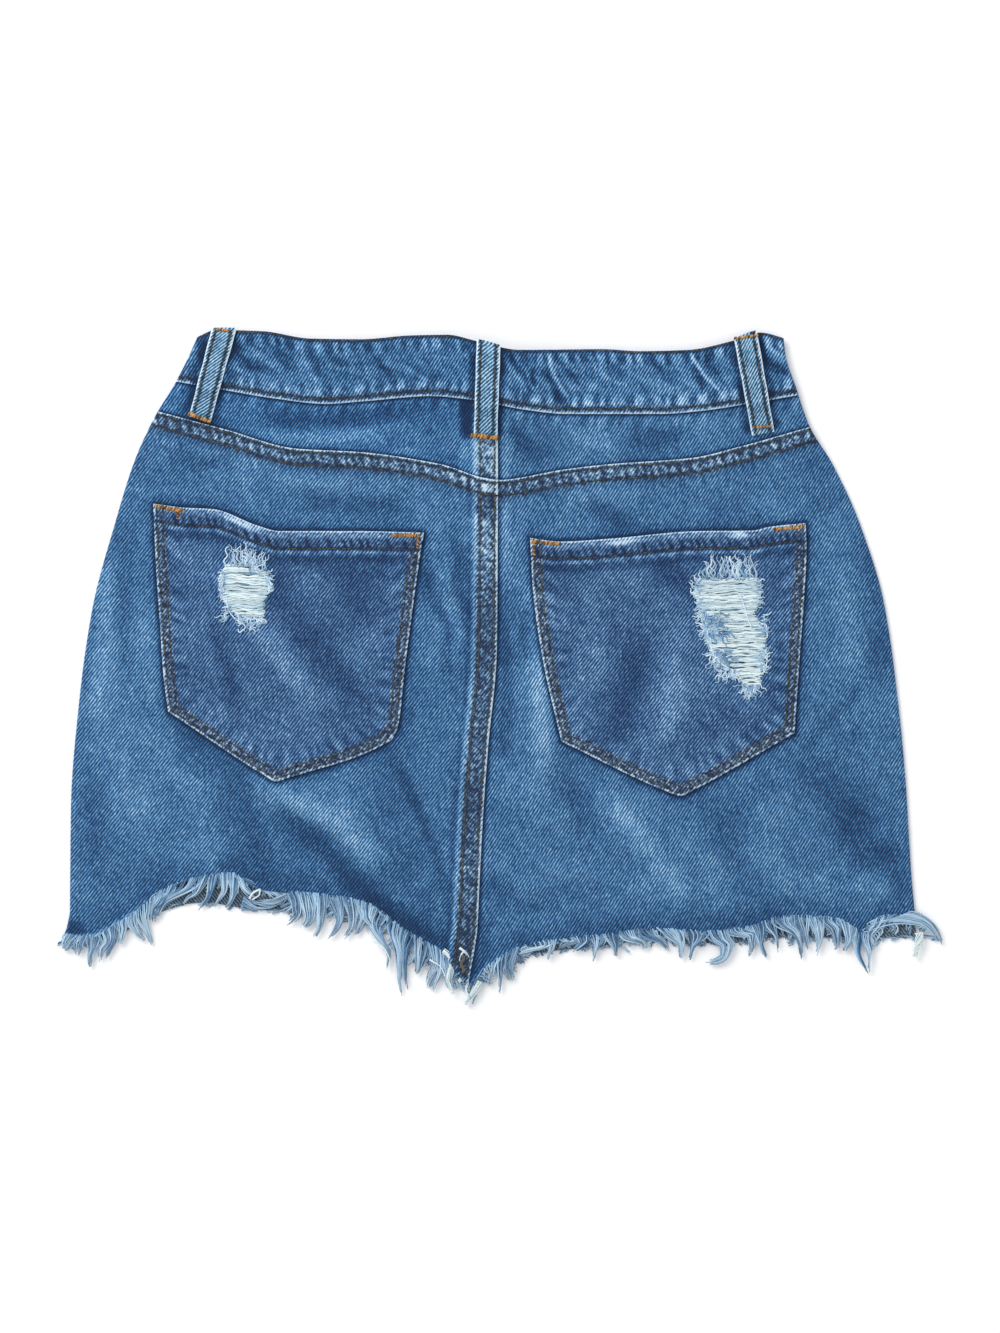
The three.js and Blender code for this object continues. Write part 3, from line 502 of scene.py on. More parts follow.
# Button: a jeans button of aged brass, pressed on to the front waistband with a rivet. It faces the floor.
brass, brass_tree, brass_shader = new_material("aged_brass", 0.42, Metallic=1.0)
brass_place = node(brass_tree, "ShaderNodeTexCoord")
tarnish = node(brass_tree, "ShaderNodeTexNoise",
               {"Vector": brass_place.outputs["Object"], "Scale": 700.0, "Detail": 4.0})
brass_colour = node(brass_tree, "ShaderNodeMix", {"Factor": tarnish, 6: linear("#6d5634"), 7: linear("#b99a63")},
                    data_type="RGBA")
brass_tree.links.new(brass_colour.outputs[2], brass_shader.inputs["Base Color"])
brass_dents = node(brass_tree, "ShaderNodeBump", {"Strength": 0.3, "Distance": 0.0001, "Height": tarnish})
brass_tree.links.new(brass_dents.outputs[0], brass_shader.inputs["Normal"])
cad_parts["button"].data.materials.clear()
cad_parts["button"].data.materials.append(brass)

# Yoke: two shaped halves of the same denim over the hips, the left one lapped over the right one at the centre
# back and felled with two rows of stitches.
YOKE_LAP = 10
CENTRE_LAP = 12.5
LOFT = 1.6
LOFT_REACH = 26
YOKE_LOFT = 0.9  # slack in the yoke and waistband, in which their creases lie
FLY_BELL = 50
WAIST_RISE = 45
RIVET_HEIGHT = 0.7
YOKE_SEAM = ((-198, 147.3), (-159, 136.9), (-117, 125.5), (-80, 123.5), (-34, 116.6), (-1, 107.3), (38, 113.4),
             (62, 116.3), (112, 120.1), (141, 127), (181, 138.3))
CENTRE_BACK = ((194, -1), (107, -0.3), (10, -0.9), (-48, -6), (-84, -8.7), (-126, -11), (-152, -12.2),
               (-186, -17.7))
# Ridges and troughs of the solids: height, tone, reach and the line's two ends. The tone is painted shade in the
# troughs and paler, partly worn cloth on the ridges.
FOLDS = (
    (1.5, 0.03, 36, ((-144, -66), (-78, -104))), (-1.3, -0.03, 38, ((-132, -86), (-28, -160))),
    (-1.0, -0.02, 36, ((-198, -32), (-142, -122))), (-1.0, -0.02, 38, ((-130, 56), (-69, -29))),
    (1.2, 0.03, 36, ((10, 63), (20, -76))), (1.2, 0.02, 36, ((61, -77), (108, -134))),
    (-0.9, -0.02, 34, ((38, -66), (54, -94))), (-1.1, -0.03, 38, ((184, -60), (217, -117))),
    (-0.8, -0.02, 40, ((80, 55), (76, -20))),
    (0.2, 0.06, 44, ((-204, 10), (-215, -70))), (-0.2, -0.05, 32, ((-62, -50), (-52, -110))))
# Finer creases on them: height, tone, reach and the places that the crease runs through. The tone is painted shade in
# the troughs and paler, partly worn cloth on the ridges.
CREASES = (
    (-1.8, -0.13, 13, ((-137, 63), (-115, 32), (-89, -5), (-69, -29))),
    (1.2, 0.09, 11, ((-150, 44), (-124, 6), (-98, -27))),
    (-1.2, -0.1, 10, ((-164, 29), (-157, -3), (-150, -32))),
    (-1.2, -0.1, 13, ((-198, -32), (-173, -46), (-153, -63), (-144, -87), (-138, -128))),
    (1.2, 0.08, 13, ((-202, -55), (-176, -72), (-164, -102), (-166, -125))),
    (-2.4, -0.17, 12, ((-133, -84), (-102, -104), (-75, -135), (-48, -155), (-28, -165))),
    (1.8, 0.1, 12, ((-144, -66), (-116, -80), (-89, -95), (-66, -119))),
    (-1, -0.1, 6, ((-62, -53), (-48, -80), (-35, -114), (-28, -142))),
    (-0.9, -0.1, 6, ((-28, 77), (-21, 58), (-24, 42), (-14, 29))),
    (-0.8, -0.09, 6, ((-45, 63), (-38, 36), (-28, 22), (-30, -9))),
    (0.8, 0.07, 7, ((-34, 61), (-28, 38), (-19, 9))),
    (1.6, 0.16, 11, ((7, 78), (14, 52), (23, 26), (25, -12), (27, -53), (20, -77))),
    (-1.4, -0.14, 9, ((0, 52), (4, 14), (5, -20), (3, -55))),
    (-1, -0.12, 9, ((3, 142), (14, 128), (27, 118))),
    (-0.9, -0.11, 10, ((51, 96), (64, 87), (76, 78))),
    (-1.4, -0.12, 10, ((10, 72), (15, 38), (19, 3))),
    (-1.2, -0.1, 12, ((91, 60), (102, 53), (117, 38), (115, 14))),
    (-1, -0.07, 20, ((82, 14), (74, -32), (57, -55))),
    (1.1, 0.09, 16, ((103, 14), (103, -20), (98, -50))),
    (-1.2, -0.1, 13, ((37, -62), (46, -80), (54, -99))),
    (1.5, 0.11, 12, ((59, -72), (88, -107), (111, -139))),
    (-1.3, -0.1, 19, ((184, -55), (201, -84), (217, -119))),
    (-0.9, -0.09, 7, ((178, -48), (195, -30), (211, -13))),
    (1.2, 0.09, 13, ((204, -125), (217, -132), (230, -127))),
    (-1, -0.1, 11, ((224, -104), (230, -120), (236, -136))),
    (-1, -0.12, 9, ((-140, 144), (-116, 140), (-75, 144), (-31, 150))),
    (0.9, 0.11, 9, ((-137, 134), (-104, 132), (-63, 133))),
    (-0.9, -0.11, 8, ((-187, 149), (-173, 140), (-155, 136))),
    (-0.7, -0.07, 7, ((-191, 122), (-173, 117), (-152, 115))),
    (1, 0.09, 12, ((-225, 61), (-229, 14), (-233, -32))),
    (-0.9, -0.08, 10, ((-214, 84), (-217, 38), (-214, -14))),
    (-0.8, -0.07, 16, ((-233, -55), (-236, -90), (-238, -125))),
    (0.9, 0.07, 15, ((152, -78), (157, -107), (169, -136))),
    (-0.8, -0.06, 15, ((117, -72), (134, -102), (143, -136))),
    (0.9, 0.08, 12, ((198, 61), (204, 14), (207, -14))),
    (-0.9, -0.08, 11, ((214, 84), (221, 38), (224, -9))),
    (0.7, 0.06, 10, ((36, 96), (59, 99), (94, 103))),
    (-0.8, -0.08, 10, ((76, 132), (94, 130), (111, 135))),
    (0.8, 0.08, 9, ((36, 139), (53, 130), (73, 125))),
    (-0.9, -0.08, 12, ((-115, 96), (-80, 93), (-46, 89))),
    (0.9, 0.07, 10, ((-133, 108), (-98, 104), (-60, 99))),
    (-1, -0.07, 14, ((-11, -125), (12, -139), (36, -143))),
    (0.9, 0.07, 12, ((12, -102), (36, -118), (59, -125))),
    (0.5, 0.15, 8, ((-19, 131), (-17, 108))), (0.4, 0.11, 7, ((-15, 88), (-16, 68))),
    (-0.4, -0.3, 5, ((-20, 156), (-19, 131))), (-0.4, -0.07, 12, ((-17, 48), (-16, -8))),
    (0.3, 0.1, 8, ((-42, 112), (-24, 109), (-2, 102))), (0.3, 0.1, 8, ((60, 112), (86, 114))),
    (-0.3, -0.09, 7, ((3, 103), (22, 106))),
)
LOOP = {"width": 14, "thick": 1.6, "step": 5, "hook": 2.4}
BACK_LOOPS = (("belt_loop_back_left", -173.4, 142.6, -159.7, 193), ("belt_loop_back_centre", -7.6, 131, -5.8, 185.2),
              ("belt_loop_back_right", 153.6, 134, 143.4, 190.2))
yoke_seam = smooth_line(YOKE_SEAM)
centre_back = smooth_line(CENTRE_BACK)


def along_line(places, x, y):
    """Distance from each spot to a bent line, and the share of the line's length at the nearest place on it."""
    places = np.array(places, float)
    spans = np.hypot(*np.diff(places, axis=0).T)
    nearest = np.full(np.shape(x), np.inf)
    share = np.zeros(np.shape(x))
    walked = 0
    for (x1, y1), (x2, y2), span in zip(places[:-1], places[1:], spans):
        t = np.clip(((x - x1) * (x2 - x1) + (y - y1) * (y2 - y1)) / span ** 2, 0, 1)
        away = np.hypot(x - x1 - t * (x2 - x1), y - y1 - t * (y2 - y1))
        share = np.where(away < nearest, (walked + t * span) / spans.sum(), share)
        nearest = np.minimum(nearest, away)
        walked += span
    return nearest, share


def crease_field(creases, x, y, tapered):
    """Height and tone of creases, whose tone is painted shade in troughs and paler, partly worn cloth on ridges: each a
    bell across its line, and tapered ones sink to nothing at both ends.
    """
    height = np.zeros(np.shape(x))
    tone = np.zeros(np.shape(x))
    for rise, shade, reach, places in creases:
        away, share = along_line(places, x, y)
        shape = bell(away, reach)
        if tapered:
            shape = shape * np.sqrt(np.clip(5 * share * (1 - share), 0, 1))
        height += rise * shape
        tone += shade * shape
    return height, tone


def loop_painted_shadow(x, y):
    """Painted shadow on the cloth beside the belt loops, on both sides and blotchy along it."""
    shade = np.zeros(np.shape(x))
    for _, x1, y1, x2, y2 in BACK_LOOPS:
        away, share = along_line(((x1, y1), (x2, y2)), x, y)
        beside = bell(away - LOOP["width"] / 2 - 0.8, 4.6) * ease(share, 0, 0.08)
        shade -= 0.46 * beside * (0.72 + 0.28 * np.sin(y / 3.7 + x1))
    return shade


def back_base(x, y):
    """Underside of the back's lowest layer, and the tone of its creases, painted shade in the troughs and paler, partly
    worn ridges: the front's layers beneath, then the loft that the cloth keeps off them, with the creases in it, never
    lower than the front."""
    lip = waist_bottom(x) - BAND_LIP - CLEAR
    settled = ease(y, lip - WAIST_RISE, lip)
    on_fly = bell(np.maximum(0, np.maximum(FLY_UNDER - x, x - FLY_EDGE - FLY_RAMP)), FLY_BELL)
    from_rivet = np.maximum(0, np.hypot(x - BUTTON_X, y - button_y) - BUTTON_RADIUS)
    inside = inside_sides(x, y)
    folds, fold_tone = crease_field(FOLDS, x, y, False)
    fine, fine_tone = crease_field(CREASES, x, y, True)
    loft = LOFT * (1 - np.exp(-inside / LOFT_REACH)) + folds * np.clip(inside / LOFT_REACH, 0, 1)
    slack = loft * (1 - settled) + YOKE_LOFT * settled * np.clip(inside / LOFT_REACH, 0, 1)
    slack = slack + fine * np.clip(inside / CENTRE_LAP, 0, 1)
    beneath = PLY * (1 + settled + on_fly * (1 + settled)) + (RIVET_HEIGHT + GAP) * bell(from_rivet, BUTTON_BELL)
    return beneath + front_lift(x, y) + np.maximum(0, slack), 1.25 * (fold_tone + fine_tone)


def over_centre(x, y):
    """1 from the hidden edge of the centre-back lap to the right, 0 to the left of it."""
    hidden = centre_back(y) - CENTRE_LAP - CLEAR
    return ease(x, hidden - RAMP, hidden)


def on_centre_lap(x, y):
    """1 on the centre-back lap, 0 away from it."""
    edge = centre_back(y) + CLEAR
    return np.minimum(over_centre(x, y), 1 - ease(x, edge, edge + RAMP))


def puckers(along, phase, period=4.7):
    """Uneven gathers along a seam, from -1 to 1: two sine waves whose pace drifts."""
    drift = 1.4 * np.sin(2 * pi * along / 41 + phase) + 0.8 * np.sin(2 * pi * along / 17.3 + 2.1 * phase)
    return 0.62 * np.sin(2 * pi * along / period + drift) + 0.38 * np.sin(2 * pi * along / (1.7 * period) - drift)


def groove(distance, width=0.55):
    """How far the cloth is drawn in under a row of stitches: a narrow hump, exp of minus the square."""
    return np.exp(-((distance / width) ** 2))


CENTRE_WEAR = (  # y and the tone that rubbing has left on the centre-back band
    (-165, -0.06), (-148, 0.02), (-135, 0.11), (-102, 0.1), (-86, -0.01), (-70, 0.02), (-58, 0.13), (-20, 0.1),
    (2, 0.0), (20, 0.03), (40, 0.12), (50, 0.1), (60, 0.26), (81, 0.25), (88, 0.06), (94, 0.0), (99, 0.3), (111, 0.36),
    (119, 0.46))


def lap_shadow(x, y):
    """Tone of the cloth just right of the centre-back lap: dark along its edge, rubbed pale past it near the yoke."""
    past = x - centre_back(y)
    high = ease(y, 45, 90)
    return 0.12 * bell(past - 5, 5) * high - 0.42 * (1 - 0.5 * high) * bell(past, 2.8) \
        - 0.14 * bell(past - 3, 8) * ease(y, -138, -158)


def felled_centre(x, y):
    """The felled centre-back seam seen from its left side: height, tone, seam and edge at each spot. The band is
    rubbed pale in its upper half, drawn in along its two rows of stitches, and gathered between them."""
    from_edge = centre_back(y) - x
    on_band = ease(from_edge, CENTRE_LAP + 1.5, CENTRE_LAP - 1) * (from_edge >= -0.01)
    gathers = puckers(y + 0.4 * x, 0.7, 5.6)
    height = -0.28 * groove(from_edge - CENTRE_ROWS[0]) - 0.28 * groove(from_edge - CENTRE_ROWS[1])
    height = height + 0.16 * gathers * bell(np.abs(from_edge - CENTRE_LAP / 2), CENTRE_LAP / 2)
    pale = np.interp(y, *zip(*CENTRE_WEAR))
    # Light and dark blocks along the band are the painted light and shade of its puckers, their tops partly rubbed
    # pale; the band is painted darker in the grooves along its rows.
    blocks = np.tanh(2.2 * puckers(y + 0.5 * x, 2.9, 8.6))
    tone = on_band * (pale + 0.2 * blocks * bell(from_edge - 6.2, 6))
    tone = tone - 0.3 * groove(from_edge - CENTRE_ROWS[0] - 0.5, 1.2) - 0.38 * groove(from_edge - CENTRE_ROWS[1], 1.4)
    tone = tone + 0.2 * bell(from_edge - CENTRE_LAP - 1, 2.4) - 0.1 * bell(from_edge - CENTRE_LAP - 4, 3)
    return height, tone, 0.5 * on_band, np.where(from_edge < CENTRE_LAP, from_edge, 9)


CENTRE_ROWS = (1.9, 10.4)
YOKE_ROWS = (1.7, 9.0)
YOKE_STEP = 0.9
for side, left, right, near_centre in (
        ("left", side_left, centre_back, (0, 0.35, 0.8, 1.3, 1.8, 2.3, 3, 9.6, 10.1, 10.6, 11.2, 12, 13, 14.5, 16)),
        ("right", lambda y: centre_back(y) - CENTRE_LAP, side_right, (0, 6, 12.5, 13.2, 14, 15, 16.5))):
    near_side = (0, 0.4, 1, 1.7, 2.6)
    near = (near_side, near_centre) if side == "left" else (near_centre, near_side)
    yoke_across = shares(198, YOKE_STEP, *near)
    yoke_down = shares(58, 1.3, (0, 4, 7.6, 8.2, 8.9, 9.8), (0, 5, 9.4, 10.2, 11))
    x, y = net(left, right, lambda x: waist_bottom(x) + BAND_LIP, lambda x: yoke_seam(x) - YOKE_LAP,
               yoke_across, yoke_down)
    low, tone = back_base(x, y)
    if side == "left":
        low = low + PLY * over_centre(x, y)
        relief, lap_tone, seam, edge = felled_centre(x, y)
    else:
        relief, lap_tone, seam, edge = 0, lap_shadow(x, y), np.zeros(x.shape), np.full(x.shape, 9.0)
    below_band = waist_bottom(x) - y
    above_seam = y - yoke_seam(x)
    relief = relief + 0.22 * puckers(x + 0.6 * below_band, 2.3, 6.5) * bell(below_band, 11)
    # Painted shadows just below the waistband's edge and just above the panel's folded edge, partly the unfaded indigo
    # there too; painted light and shade on the gathers below the band, their tops partly rubbed pale; and the painted
    # shadows beside the belt loops.
    tone = tone + lap_tone - 0.42 * bell(below_band, 2.2) - 0.36 * bell(above_seam, 2.2) \
        + 0.13 * puckers(x + 0.4 * below_band, 2.3, 8.5) * bell(below_band - 3, 9) + loop_painted_shadow(x, y)
    points, faces, flat_x, flat_y = wall(x, y, low, low + rounded(CLOTH, x, y) + relief)
    under = (slice(None, None, COARSE),) * 2
    fields = {label: np.concatenate([field.ravel(), field[under].ravel()])
              for label, field in (("tone", tone), ("seam", seam), ("edge", edge))}
    mesh = make_mesh(f"back_yoke_{side}", points, faces, (flat_x, flat_y), **fields)
    yoke_denim = right_denim if side == "right" else denim(
        "stone_washed_denim_yoke", ("#0b2444", "#1b426e", "#34699b", "#659bc4", "#bcd6e6"), wale_degrees=55)
    yoke = piece(mesh, yoke_denim, "denim", f"yoke_{side}")

# Back panels: the skirt's two back halves. The body's folded top edge laps over the yoke, and the left half over
# the right one, both felled with two rows of stitches that gather the band. The hem is raw.
BACK_HEM = ((-253, -157.5), (-238, -158), (-215, -147), (-194, -131), (-178, -125), (-156, -121.5), (-142, -130),
            (-100, -134.5), (-78, -138.5), (-52, -156), (-33, -167), (-17.7, -185), (-5, -174.5), (17, -163),
            (60, -157.5), (90, -154), (123, -155.5), (145, -152.8), (168, -146.4), (195, -148), (213, -156.6),
            (221, -147), (243, -145.6))
POCKET_LEFT = {
    "top": ((-200.5, 93.7), (-182, 91.3), (-166, 90.5), (-140, 81), (-127, 77.7), (-82, 77.7), (-43, 76.8)),
    "left": ((94, -200.5), (55.7, -198.8), (21.5, -196.4), (-5.8, -194.6), (-27, -191.9)),
    "right": ((77, -43.2), (65, -45.2), (32.7, -49.8), (-1.7, -54.3), (-36, -58.3), (-44, -62)),
    "bottom": ((-192, -27), (-136, -64), (-129.4, -67.6), (-122, -65.5), (-62, -43.5), (-58, -36))}
POCKET_RIGHT = {
    "top": ((18.3, 73.7), (36, 71.6), (62, 73.1), (117, 77.7), (147, 78), (158, 80.3), (178.3, 82.4)),
    "left": ((74, 18.3), (43.5, 20), (4.6, 25.4), (-44.5, 36.5)),
    "right": ((82.4, 178.3), (69.6, 178.9), (37.7, 177.4), (9.9, 175.3), (-39.4, 171.9)),
    "bottom": ((36.5, -44.5), (98, -73.5), (105.8, -76), (113.5, -72.5), (172, -39.4))}
back_hem = smooth_line(BACK_HEM)


def pocket_outline(edges):
    """The pocket's five sides as one closed outline of short spans, clockwise from its top left corner."""
    lines = {name: smooth_line(rows) for name, rows in edges.items()}
    corner_x, corner_y = net(lines["left"], lines["right"], lines["top"], lines["bottom"],
                             np.linspace(0, 1, 45), np.linspace(0, 1, 33))
    around = [np.concatenate([v[0, :-1], v[:-1, -1], v[-1, :0:-1], v[:0:-1, 0]]) for v in (corner_x, corner_y)]
    return np.column_stack(around)


pocket_outlines = {"left": pocket_outline(POCKET_LEFT), "right": pocket_outline(POCKET_RIGHT)}


def over_yoke(x, y):
    """1 where the panel's top edge lies on the yoke, 0 below it."""
    hidden = yoke_seam(x) - YOKE_LAP - CLEAR
    return ease(y, hidden - RAMP, hidden)


def hem_paleness(x):
    """Where the cloth fades into its fringe at the hem: towards the left side seam and round the centre-back tip."""
    return ease(x, -200, -215) + bell(x + 14, 34)


def back_panel_levels(side, x, y):
    """Underside, upper face, tone, seam and edge of a back panel: on the yoke it climbs a ply, on the crossing
    of the two laps another, and its left half another on the centre-back lap."""
    base, tone = back_base(x, y)
    low = base + PLY * over_yoke(x, y) * (1 + on_centre_lap(x, y))
    below = yoke_seam(x) - y
    on_band = ease(below, YOKE_LAP + 1.2, YOKE_LAP - 0.6)
    gathers = puckers(x + 0.2 * y, 1.9, 5.4)
    relief = 0.3 * gathers * bell(np.abs(below - YOKE_LAP / 2), 0.62 * YOKE_LAP)
    relief = relief + 0.16 * gathers * bell(np.abs(below - YOKE_LAP - 4), 6)
    relief = relief - 0.3 * (groove(below - YOKE_ROWS[0]) + groove(below - YOKE_ROWS[1]))
    # Painted light and shade on the gathers of the felled band and below it, their tops partly rubbed pale, and painted
    # shade in the grooves along its two rows.
    tone = tone + on_band * 0.24 * np.tanh(2 * gathers) * bell(np.abs(below - YOKE_LAP / 2), 0.6 * YOKE_LAP)
    tone = tone + 0.05 * gathers * bell(np.abs(below - YOKE_LAP - 3), 6) - 0.38 * (groove(below - YOKE_ROWS[0], 1.3) + groove(below - YOKE_ROWS[1], 1.3))
    seam = 0.5 * on_band
    edge = np.where(below < YOKE_LAP, below, 9)
    if side == "left":
        low = low + PLY * over_centre(x, y)
        lap_relief, lap_tone, lap_seam, lap_edge = felled_centre(x, y)
        relief, tone = relief + lap_relief, tone + lap_tone
        seam, edge = np.maximum(seam, lap_seam), np.minimum(edge, lap_edge)
    else:
        tone = tone + lap_shadow(x, y)
    in_pocket, _ = from_outline(pocket_outlines[side], x, y)
    # Painted shadow on the panel round the pocket's edge.
    tone = tone - 0.42 * bell(in_pocket, 2.8) * (in_pocket < 0.5) - 0.07 * bell(in_pocket, 9)
    from_hem = y - back_hem(x)
    tone = tone - 0.1 * bell(from_hem - 3, 14) + 0.34 * bell(from_hem, 3.6) * hem_paleness(x)
    tone = tone - 0.3 * bell(np.hypot(x + 246, y + 155), 9)
    thick = rounded(CLOTH, x, y) * (0.55 + 0.45 * ease(np.minimum(below, edge), -0.1, 0.9))
    return low, low + thick + relief, tone, seam, edge


BACK_STEP = (0.95, 1.9)
near_seam = (0, 0.35, 0.8, 1.3, 1.7, 2.2, 3, 4, 5, 6, 7, 8, 8.6, 9, 9.4, 10, 10.8, 12, 13.4)
for side, left, right, near_centre in (
        ("left", side_left, centre_back, (0, 0.35, 0.8, 1.3, 1.9, 2.5, 3.3, 9.2, 9.9, 10.4, 10.9, 11.7, 12.5, 14, 16)),
        ("right", lambda y: centre_back(y) - CENTRE_LAP, side_right, (0, 6, 12.5, 13.2, 14, 15, 16.5))):
    near = ((0, 0.4, 1, 1.7, 2.6), near_centre) if side == "left" else (near_centre, (0, 0.4, 1, 1.7, 2.6))
    back_across = shares(243, BACK_STEP[0], *near)
    back_down = shares(268, BACK_STEP[1], near_seam, (0, 0.7, 2))
    x, y = net(left, right, yoke_seam, back_hem, back_across, back_down)
    low, high, tone, seam, edge = back_panel_levels(side, x, y)
    points, faces, flat_x, flat_y = wall(x, y, low, high)
    fields = {label: np.concatenate([field.ravel(), field[under].ravel()])
              for label, field in (("tone", tone), ("seam", seam), ("edge", edge))}
    mesh = make_mesh(f"back_panel_{side}", points, faces, (flat_x, flat_y), **fields)
    back_panel = piece(mesh, body_denim if side == "left" else right_denim, "denim", f"back_{side}")

# Back waistband: a folded strip over the top edge of the yoke, stitched along its lower edge and along its fold.
# The two layers have crept against each other, so it is full of slanting puckers.
BAND_ROWS = (3.0, 31.0)
BAND_CREASES = (  # height, tone, reach and places, as for the panels, with painted shade in the troughs and paler, partly worn ridges
    (-0.5, -0.2, 4.5, ((-152, 186), (-149, 179), (-143, 171))), (-0.4, -0.17, 5.5, ((-142, 176), (-134, 171))),
    (-0.4, -0.16, 5, ((-131, 182), (-124, 177), (-117, 167))), (-0.4, -0.18, 4.5, ((-111, 182), (-106, 176), (-104, 168))),
    (-0.4, -0.17, 4.5, ((-99, 181), (-94, 176), (-86, 174))), (0.4, 0.12, 4, ((-147, 184), (-139, 180), (-130, 171))),
    (0.4, 0.12, 4, ((-114, 181), (-111, 172), (-103, 161))), (-0.4, -0.14, 5, ((-74, 178), (-66, 171), (-58, 163))),
    (0.4, 0.12, 4, ((-67, 179), (-58, 170))), (-0.4, -0.13, 5, ((-43, 175), (-35, 168), (-29, 160))),
    (-0.6, -0.2, 3.6, ((4, 184), (10, 174), (17, 162), (19, 154))), (0.5, 0.16, 3.2, ((3, 177), (12, 166), (19, 154))),
    (-0.5, -0.3, 2.4, ((20.5, 173), (19.5, 166), (21.5, 161))), (-0.7, -0.26, 3.6, ((26, 172), (33, 160), (37, 150))),
    (0.7, 0.24, 2.6, ((28, 181), (33, 166), (42, 152))), (-0.5, -0.16, 4, ((34, 182), (38, 173), (46, 163))),
    (-0.5, -0.17, 4, ((61, 182), (66, 174), (74, 166))), (0.4, 0.12, 4, ((52, 180), (60, 171), (66, 160))),
    (-0.5, -0.16, 4.5, ((88, 181), (93, 172), (101, 163))), (0.9, 0.34, 1.9, ((111, 181), (119.5, 167.5), (129, 158.5))),
    (-0.6, -0.2, 4.2, ((113, 174), (117, 165), (119, 157))), (-0.6, -0.2, 4.5, ((117, 181), (124, 172), (131, 165))),
    (-0.6, -0.24, 4, ((153, 178), (160, 174), (168, 169))), (0.4, 0.12, 4, ((156, 184), (163, 179), (169, 175))))


def band_levels(x, y):
    """Underside, upper face, tone, seam and edge of the back waistband."""
    base, tone = back_base(x, y)
    above = y - waist_bottom(x)
    below_top = waist_top(x) - y
    tuck = 1 - ease(above, BAND_LIP + CLEAR, BAND_LIP + CLEAR + BAND_STEP)
    low = base + PLY * tuck * (1 + on_centre_lap(x, y))
    lump = 1 - ease(above, BAND_LIP + CLEAR + BAND_STEP, BAND_LIP + CLEAR + 2 * BAND_LIP)
    low_gathers = np.tanh(2.6 * puckers(x - 0.1 * above, 4.1, 9.6))
    high_gathers = np.tanh(2.6 * puckers(x - 0.12 * below_top, 1.2, 9.0))
    hollows = puckers(x + 1.1 * above, 5.3, 21) * np.cos(2 * pi * (above - 16) / 17)
    relief = 0.3 * low_gathers * bell(above - 7, 8) + 0.3 * high_gathers * bell(below_top - 6, 10)
    relief = relief + 0.22 * hollows * bell(above - 16, 11)
    relief = relief - 0.35 * groove(above - BAND_ROWS[0]) - 0.3 * groove(below_top - 1.2)
    fine, fine_tone = crease_field(BAND_CREASES, x, y, True)
    relief = relief + fine
    strength = 0.17 + 0.05 * ease(x, 0, 40)
    # Painted light and shade on the gathers and hollows, their tops partly rubbed pale, the painted shadows beside the
    # belt loops, and painted shade in the groove along the lower row.
    tone = 0.4 * tone + fine_tone + strength * (low_gathers * bell(above - 7, 6) + high_gathers * bell(below_top - 5, 5.5))
    tone = tone - 0.03 + 0.03 * ease(x, 0, 40) + 0.12 * hollows * bell(above - 16, 11) + 0.08 * bell(above - 6, 5) + loop_painted_shadow(x, y)
    tone = tone - 0.34 * groove(above - BAND_ROWS[0], 1.0) - 0.3 * bell(below_top - 1.0, 1.8)
    edge = above
    thick = rounded(BAND, x, y) * (0.62 + 0.38 * np.sqrt(ramp(np.minimum(above, below_top), -0.05, 1.3)))
    return low, base + thick + PLY * on_centre_lap(x, y) * lump + relief, tone, 0.35 * bell(above - 3, 5), edge


band_across = shares(368, 0.85, (0, 0.5, 1.2, 2), (0, 0.5, 1.2, 2))
band_down = shares(35, 1.15, (0, 0.4, 0.9, 1.5, 2.3), (0, 0.35, 0.8, 1.4, 2, 2.6, 3.2, 4))
x, y = net(side_left, side_right, waist_top, waist_bottom, band_across, band_down)
low, high, tone, seam, edge = band_levels(x, y)
points, faces, flat_x, flat_y = wall(x, y, low, high)
fields = {label: np.concatenate([field.ravel(), field[under].ravel()])
          for label, field in (("tone", tone), ("seam", seam), ("edge", edge))}
mesh = make_mesh("back_waistband", points, faces, (flat_x, flat_y), **fields)
band_denim = denim("stone_washed_denim_band", ("#0a203d", "#1d446f", "#3b709f", "#78a9d0", "#cfe3ef"),
                   wale_degrees=58, contrast=1.05)
band = piece(mesh, band_denim, "denim", "waistband_back")


def skin(x, y):
    """Upper face of the skirt's back at any spot, before pockets and belt loops."""
    left = x < centre_back(y)
    on_band = y > waist_bottom(x)
    on_yoke = (y > yoke_seam(x)) & ~on_band
    yoke_top = back_base(x, y)[0] + PLY * over_centre(x, y) * left + CLOTH
    panel_top = np.where(left, back_panel_levels("left", x, y)[1], back_panel_levels("right", x, y)[1])
    return np.where(on_band, band_levels(x, np.minimum(y, waist_top(x) - 1.5))[1],
                    np.where(on_yoke, yoke_top, panel_top))

